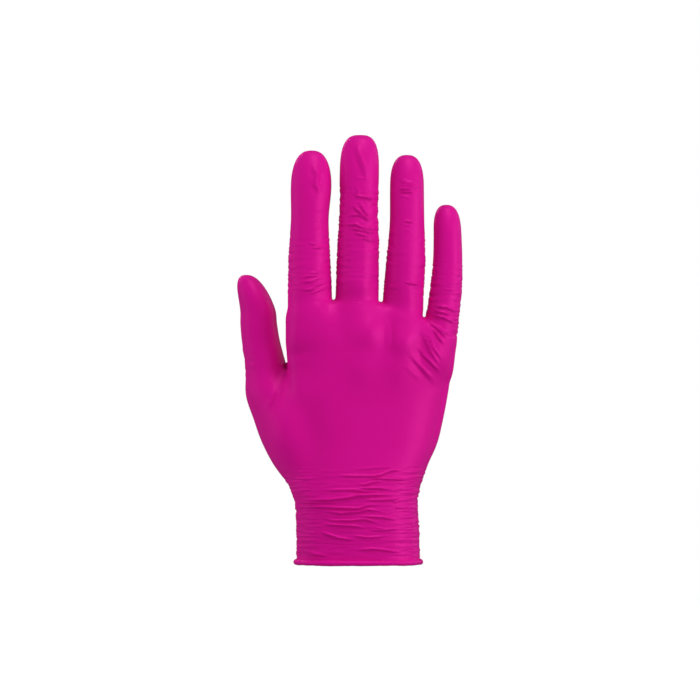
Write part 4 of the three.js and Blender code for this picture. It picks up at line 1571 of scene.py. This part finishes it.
class BeadSweep(ShapeTree):
    """Sweeps a slightly uneven round bead along a curve."""

    NOISE_SCALE = 110.0

    def __init__(self, radius: float, sides: int) -> None:
        """Build the tree.

        Args:
            radius: The bead's radius in metres.
            sides: The number of sides of its section.
        """
        sizes = {"Radius": radius, "Sides": sides, "Steps": 320, "Unevenness": 0.1, "Seed": 5.0}
        super().__init__("rolled bead", sizes)
        add, given = self.bench.add, self.given
        even = add("GeometryNodeResampleCurve", {"Curve": given["Geometry"], "Count": given["Steps"]})
        swing = self.bench.swing({"Scale": self.NOISE_SCALE, "W": given["Seed"]})
        uneven = add("ShaderNodeMath", {0: swing, 1: given["Unevenness"], 2: 1.0}, operation="MULTIPLY_ADD")
        circle = add(
            "GeometryNodeCurvePrimitiveCircle", {"Resolution": given["Sides"], "Radius": given["Radius"]}
        )
        sweep = add("GeometryNodeCurveToMesh", {
            "Curve": even.outputs[0], "Profile Curve": circle.outputs[0], "Scale": uneven.outputs[0],
        })
        self.end(add("GeometryNodeSetShadeSmooth", {"Geometry": sweep.outputs[0]}).outputs[0])


@dataclass
class RolledBead:
    """The bead rolled from the film's edge, swept round the mouth of the cuff. Its sizes are in metres."""

    mouth: Array
    finish: bpy.types.Material
    radius: float = 0.00145
    outward: float = 0.0003
    sides: int = 20
    # Every how many of the mouth's points one is on the bead's curve.
    spacing: int = 2

    def build(self) -> bpy.types.Object:
        """Build the bead.

        Returns:
            The bead's object.
        """
        loop = self.mouth[:: self.spacing]
        ahead = np.roll(loop, -1, axis=0) - np.roll(loop, 1, axis=0)
        out = np.stack([ahead[:, 1], -ahead[:, 0]], axis=-1)
        out /= np.linalg.norm(out, axis=1, keepdims=True)
        curve = bpy.data.curves.new("mouth", "CURVE")
        curve.dimensions = "3D"
        spline = curve.splines.new("POLY")
        spline.points.add(len(loop) - 1)
        place = np.concatenate([loop[:, :2] + out * self.outward, np.full((len(loop), 1), self.radius)], axis=1)
        spline.points.foreach_set("co", np.concatenate([place, np.ones((len(loop), 1))], axis=1).ravel())
        spline.use_cyclic_u = True
        route = bpy.data.objects.new("mouth", curve)
        bpy.context.scene.collection.objects.link(route)
        mesh = BeadSweep(self.radius, self.sides).run(route, self.finish)
        mesh.name = "bead"
        bead = bpy.data.objects.new("bead", mesh)
        bpy.context.scene.collection.objects.link(bead)
        bpy.data.objects.remove(route)
        return bead


@dataclass(frozen=True)
class NitrileFinish:
    """Satin nitrile film, coloured all through."""

    name: str = "nitrile"
    colour: tuple[float, float, float] = (0.74, 0.0055, 0.305)
    shade: tuple[float, float, float] = (0.69, 0.0045, 0.284)
    cloud_scale: float = 45.0
    roughness: float = 0.42
    roughness_swing: float = 0.05
    patch_scale: float = 220.0
    gloss: float = 0.6
    sheen: tuple[float, float, float] = (1.0, 0.05, 0.42)
    grain: float = 0.12
    grain_scale: float = 1500.0
    grain_depth: float = 0.0002

    def build(self) -> bpy.types.Material:
        """Build the material.

        Returns:
            The material.
        """
        material = bpy.data.materials.new(self.name)
        material.use_nodes = True
        bench = NodeBench(material.node_tree)
        place = bench.add("ShaderNodeTexCoord").outputs["Object"]
        cloud, patch, fine = (
            bench.add("ShaderNodeTexNoise", {"Vector": place, "Scale": scale, "Detail": detail}).outputs[0]
            for scale, detail in ((self.cloud_scale, 3.0), (self.patch_scale, 4.0), (self.grain_scale, 2.0))
        )
        tint = bench.add(
            "ShaderNodeMix", {"Factor": cloud, "A": (*self.shade, 1.0), "B": (*self.colour, 1.0)}, data_type="RGBA"
        )
        low, high = self.roughness - self.roughness_swing, self.roughness + self.roughness_swing
        satin = bench.add("ShaderNodeMapRange", {"Value": patch, "To Min": low, "To Max": high})
        bump = bench.add(
            "ShaderNodeBump", {"Strength": self.grain, "Distance": self.grain_depth, "Height": fine}
        )
        bench.feed(material.node_tree.nodes["Principled BSDF"], {
            "Base Color": tint.outputs["Result"],
            "Roughness": satin.outputs[0],
            "Specular IOR Level": self.gloss,
            "Specular Tint": (*self.sheen, 1.0),
            "Normal": bump.outputs[0],
        })
        return material


@dataclass(frozen=True)
class Softbox:
    """A soft studio lamp that faces the glove: its angles in degrees, sizes in metres and power in watts."""

    name: str
    azimuth: float
    elevation: float
    distance: float
    width: float
    height: float
    power: float
    mirrored: bool = True

    def build(self, aim: Vector) -> None:
        """Hang the lamp.

        Args:
            aim: The place that it faces.
        """
        turn, rise = math.radians(self.azimuth), math.radians(self.elevation)
        way = Vector((math.sin(turn) * math.cos(rise), -math.cos(turn) * math.cos(rise), math.sin(rise)))
        data = bpy.data.lights.new(self.name, "AREA")
        data.shape = "RECTANGLE"
        data.size, data.size_y, data.energy = self.width, self.height, self.power
        lamp = bpy.data.objects.new(self.name, data)
        lamp.location = aim + way * self.distance
        lamp.rotation_euler = (-way).to_track_quat("-Z", "Y").to_euler()
        lamp.visible_glossy = self.mirrored
        bpy.context.scene.collection.objects.link(lamp)


@dataclass
class Studio:
    """The floor, the surroundings, the lamps and the camera. Its sizes are in metres."""

    aim: Vector = field(default_factory=lambda: Vector((-0.0048, 0.0, 0.1158)))
    distance: float = 2.8
    frame_width: float = 0.378
    floor_level: float = -0.12
    floor_radius: float = 2.0
    floor_sides: int = 96
    # How strongly the surroundings shine: where they are seen, from the camera's side, from behind, and in gloss.
    seen: float = 1.0
    ambient: float = 0.42
    behind: float = 0.28
    mirrored: float = 0.05
    lamps: tuple[Softbox, ...] = (
        Softbox("right_lamp", 58.0, 8.0, 1.6, 0.7, 0.8, 10.5),
        Softbox("high_lamp", 25.0, 64.0, 1.6, 0.6, 0.6, 9.0),
        Softbox("left_lamp", -80.0, 10.0, 1.6, 0.8, 0.8, 9.0, False),
        Softbox("back_right_lamp", 125.0, 20.0, 1.6, 0.7, 0.7, 3.0, False),
        Softbox("back_left_lamp", 215.0, 35.0, 1.6, 0.6, 0.6, 10.0, False),
    )

    WHITE = (1.0, 1.0, 1.0, 1.0)
    PAINT = (0.9, 0.9, 0.9, 1.0)
    MATT = 0.9

    def build(self) -> None:
        """Build the studio."""
        for lamp in self.lamps:
            lamp.build(self.aim)
        self.build_surroundings()
        self.build_floor()
        data = bpy.data.cameras.new("camera")
        data.lens = data.sensor_width * self.distance / self.frame_width
        camera = bpy.data.objects.new("camera", data)
        camera.location = self.aim - Vector((0.0, self.distance, 0.0))
        camera.rotation_euler = (math.pi / 2, 0.0, 0.0)
        bpy.context.scene.collection.objects.link(camera)
        bpy.context.scene.camera = camera
        bpy.context.scene.view_settings.view_transform = "Standard"

    def build_surroundings(self) -> None:
        """Build the world: white where it is seen, softer where it lights the glove."""
        world = bpy.data.worlds.new("studio")
        world.use_nodes = True
        bench = NodeBench(world.node_tree)
        ray = bench.add("ShaderNodeLightPath")
        way = bench.add("ShaderNodeSeparateXYZ", {0: bench.add("ShaderNodeTexCoord").outputs["Generated"]})
        fall = bench.add("ShaderNodeMapRange", {
            "Value": way.outputs["Y"], "From Min": -1.0, "To Min": self.ambient, "To Max": self.behind,
        })
        light = world.node_tree.nodes["Background"]
        bench.feed(light, {"Color": self.WHITE, "Strength": fall.outputs[0]})
        for name, strength in (("Is Glossy Ray", self.mirrored), ("Is Camera Ray", self.seen)):
            other = bench.add("ShaderNodeBackground", {"Color": self.WHITE, "Strength": strength})
            light = bench.add(
                "ShaderNodeMixShader", {0: ray.outputs[name], 1: light.outputs[0], 2: other.outputs[0]}
            )
        bench.feed(world.node_tree.nodes["World Output"], {"Surface": light.outputs[0]})
        bpy.context.scene.world = world

    def build_floor(self) -> None:
        """Build the plain white floor, well below the glove and clear when seen from under it."""
        radius, count = self.floor_radius, self.floor_sides
        mesh = bpy.data.meshes.new("floor")
        turns = [math.tau * step / count for step in range(count)]
        edge = [(radius * math.cos(turn), radius * math.sin(turn), self.floor_level) for turn in turns]
        mesh.from_pydata(edge, [], [tuple(range(count))])
        floor = bpy.data.objects.new("floor", mesh)
        bpy.context.scene.collection.objects.link(floor)
        paint = bpy.data.materials.new("floor")
        paint.use_nodes = True
        bench, nodes = NodeBench(paint.node_tree), paint.node_tree.nodes
        bench.feed(nodes["Principled BSDF"], {
            "Base Color": self.PAINT, "Roughness": self.MATT, "Emission Color": self.WHITE, "Emission Strength": 1.0,
        })
        clear, facing = bench.add("ShaderNodeBsdfTransparent"), bench.add("ShaderNodeNewGeometry")
        mix = bench.add("ShaderNodeMixShader", {
            0: facing.outputs["Backfacing"], 1: nodes["Principled BSDF"].outputs[0], 2: clear.outputs[0],
        })
        bench.feed(nodes["Material Output"], {"Surface": mix.outputs[0]})
        mesh.materials.append(paint)
        floor.visible_diffuse = floor.visible_glossy = False


@dataclass
class Glove:
    """The whole glove."""

    form: HandForm = field(default_factory=HandForm)

    def build(self) -> tuple[bpy.types.Object, bpy.types.Object]:
        """Build the film and the bead, and put them in the frame.

        Returns:
            The two pieces.
        """
        finish = NitrileFinish().build()
        film, mouth = GloveFilm(self.form, finish).build()
        bead = RolledBead(mouth, finish).build()
        for piece in (film, bead):
            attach(piece, "root")
            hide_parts("glove")
        return film, bead


def main() -> None:
    """Build the studio and the glove in the frame, and report each piece."""
    logging.basicConfig(level=logging.INFO, format="%(message)s")
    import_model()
    Studio().build()
    for piece in Glove().build():
        LOG.info("%s: %d faces", piece.name, len(piece.data.polygons))


if __name__ == "__main__":
    main()
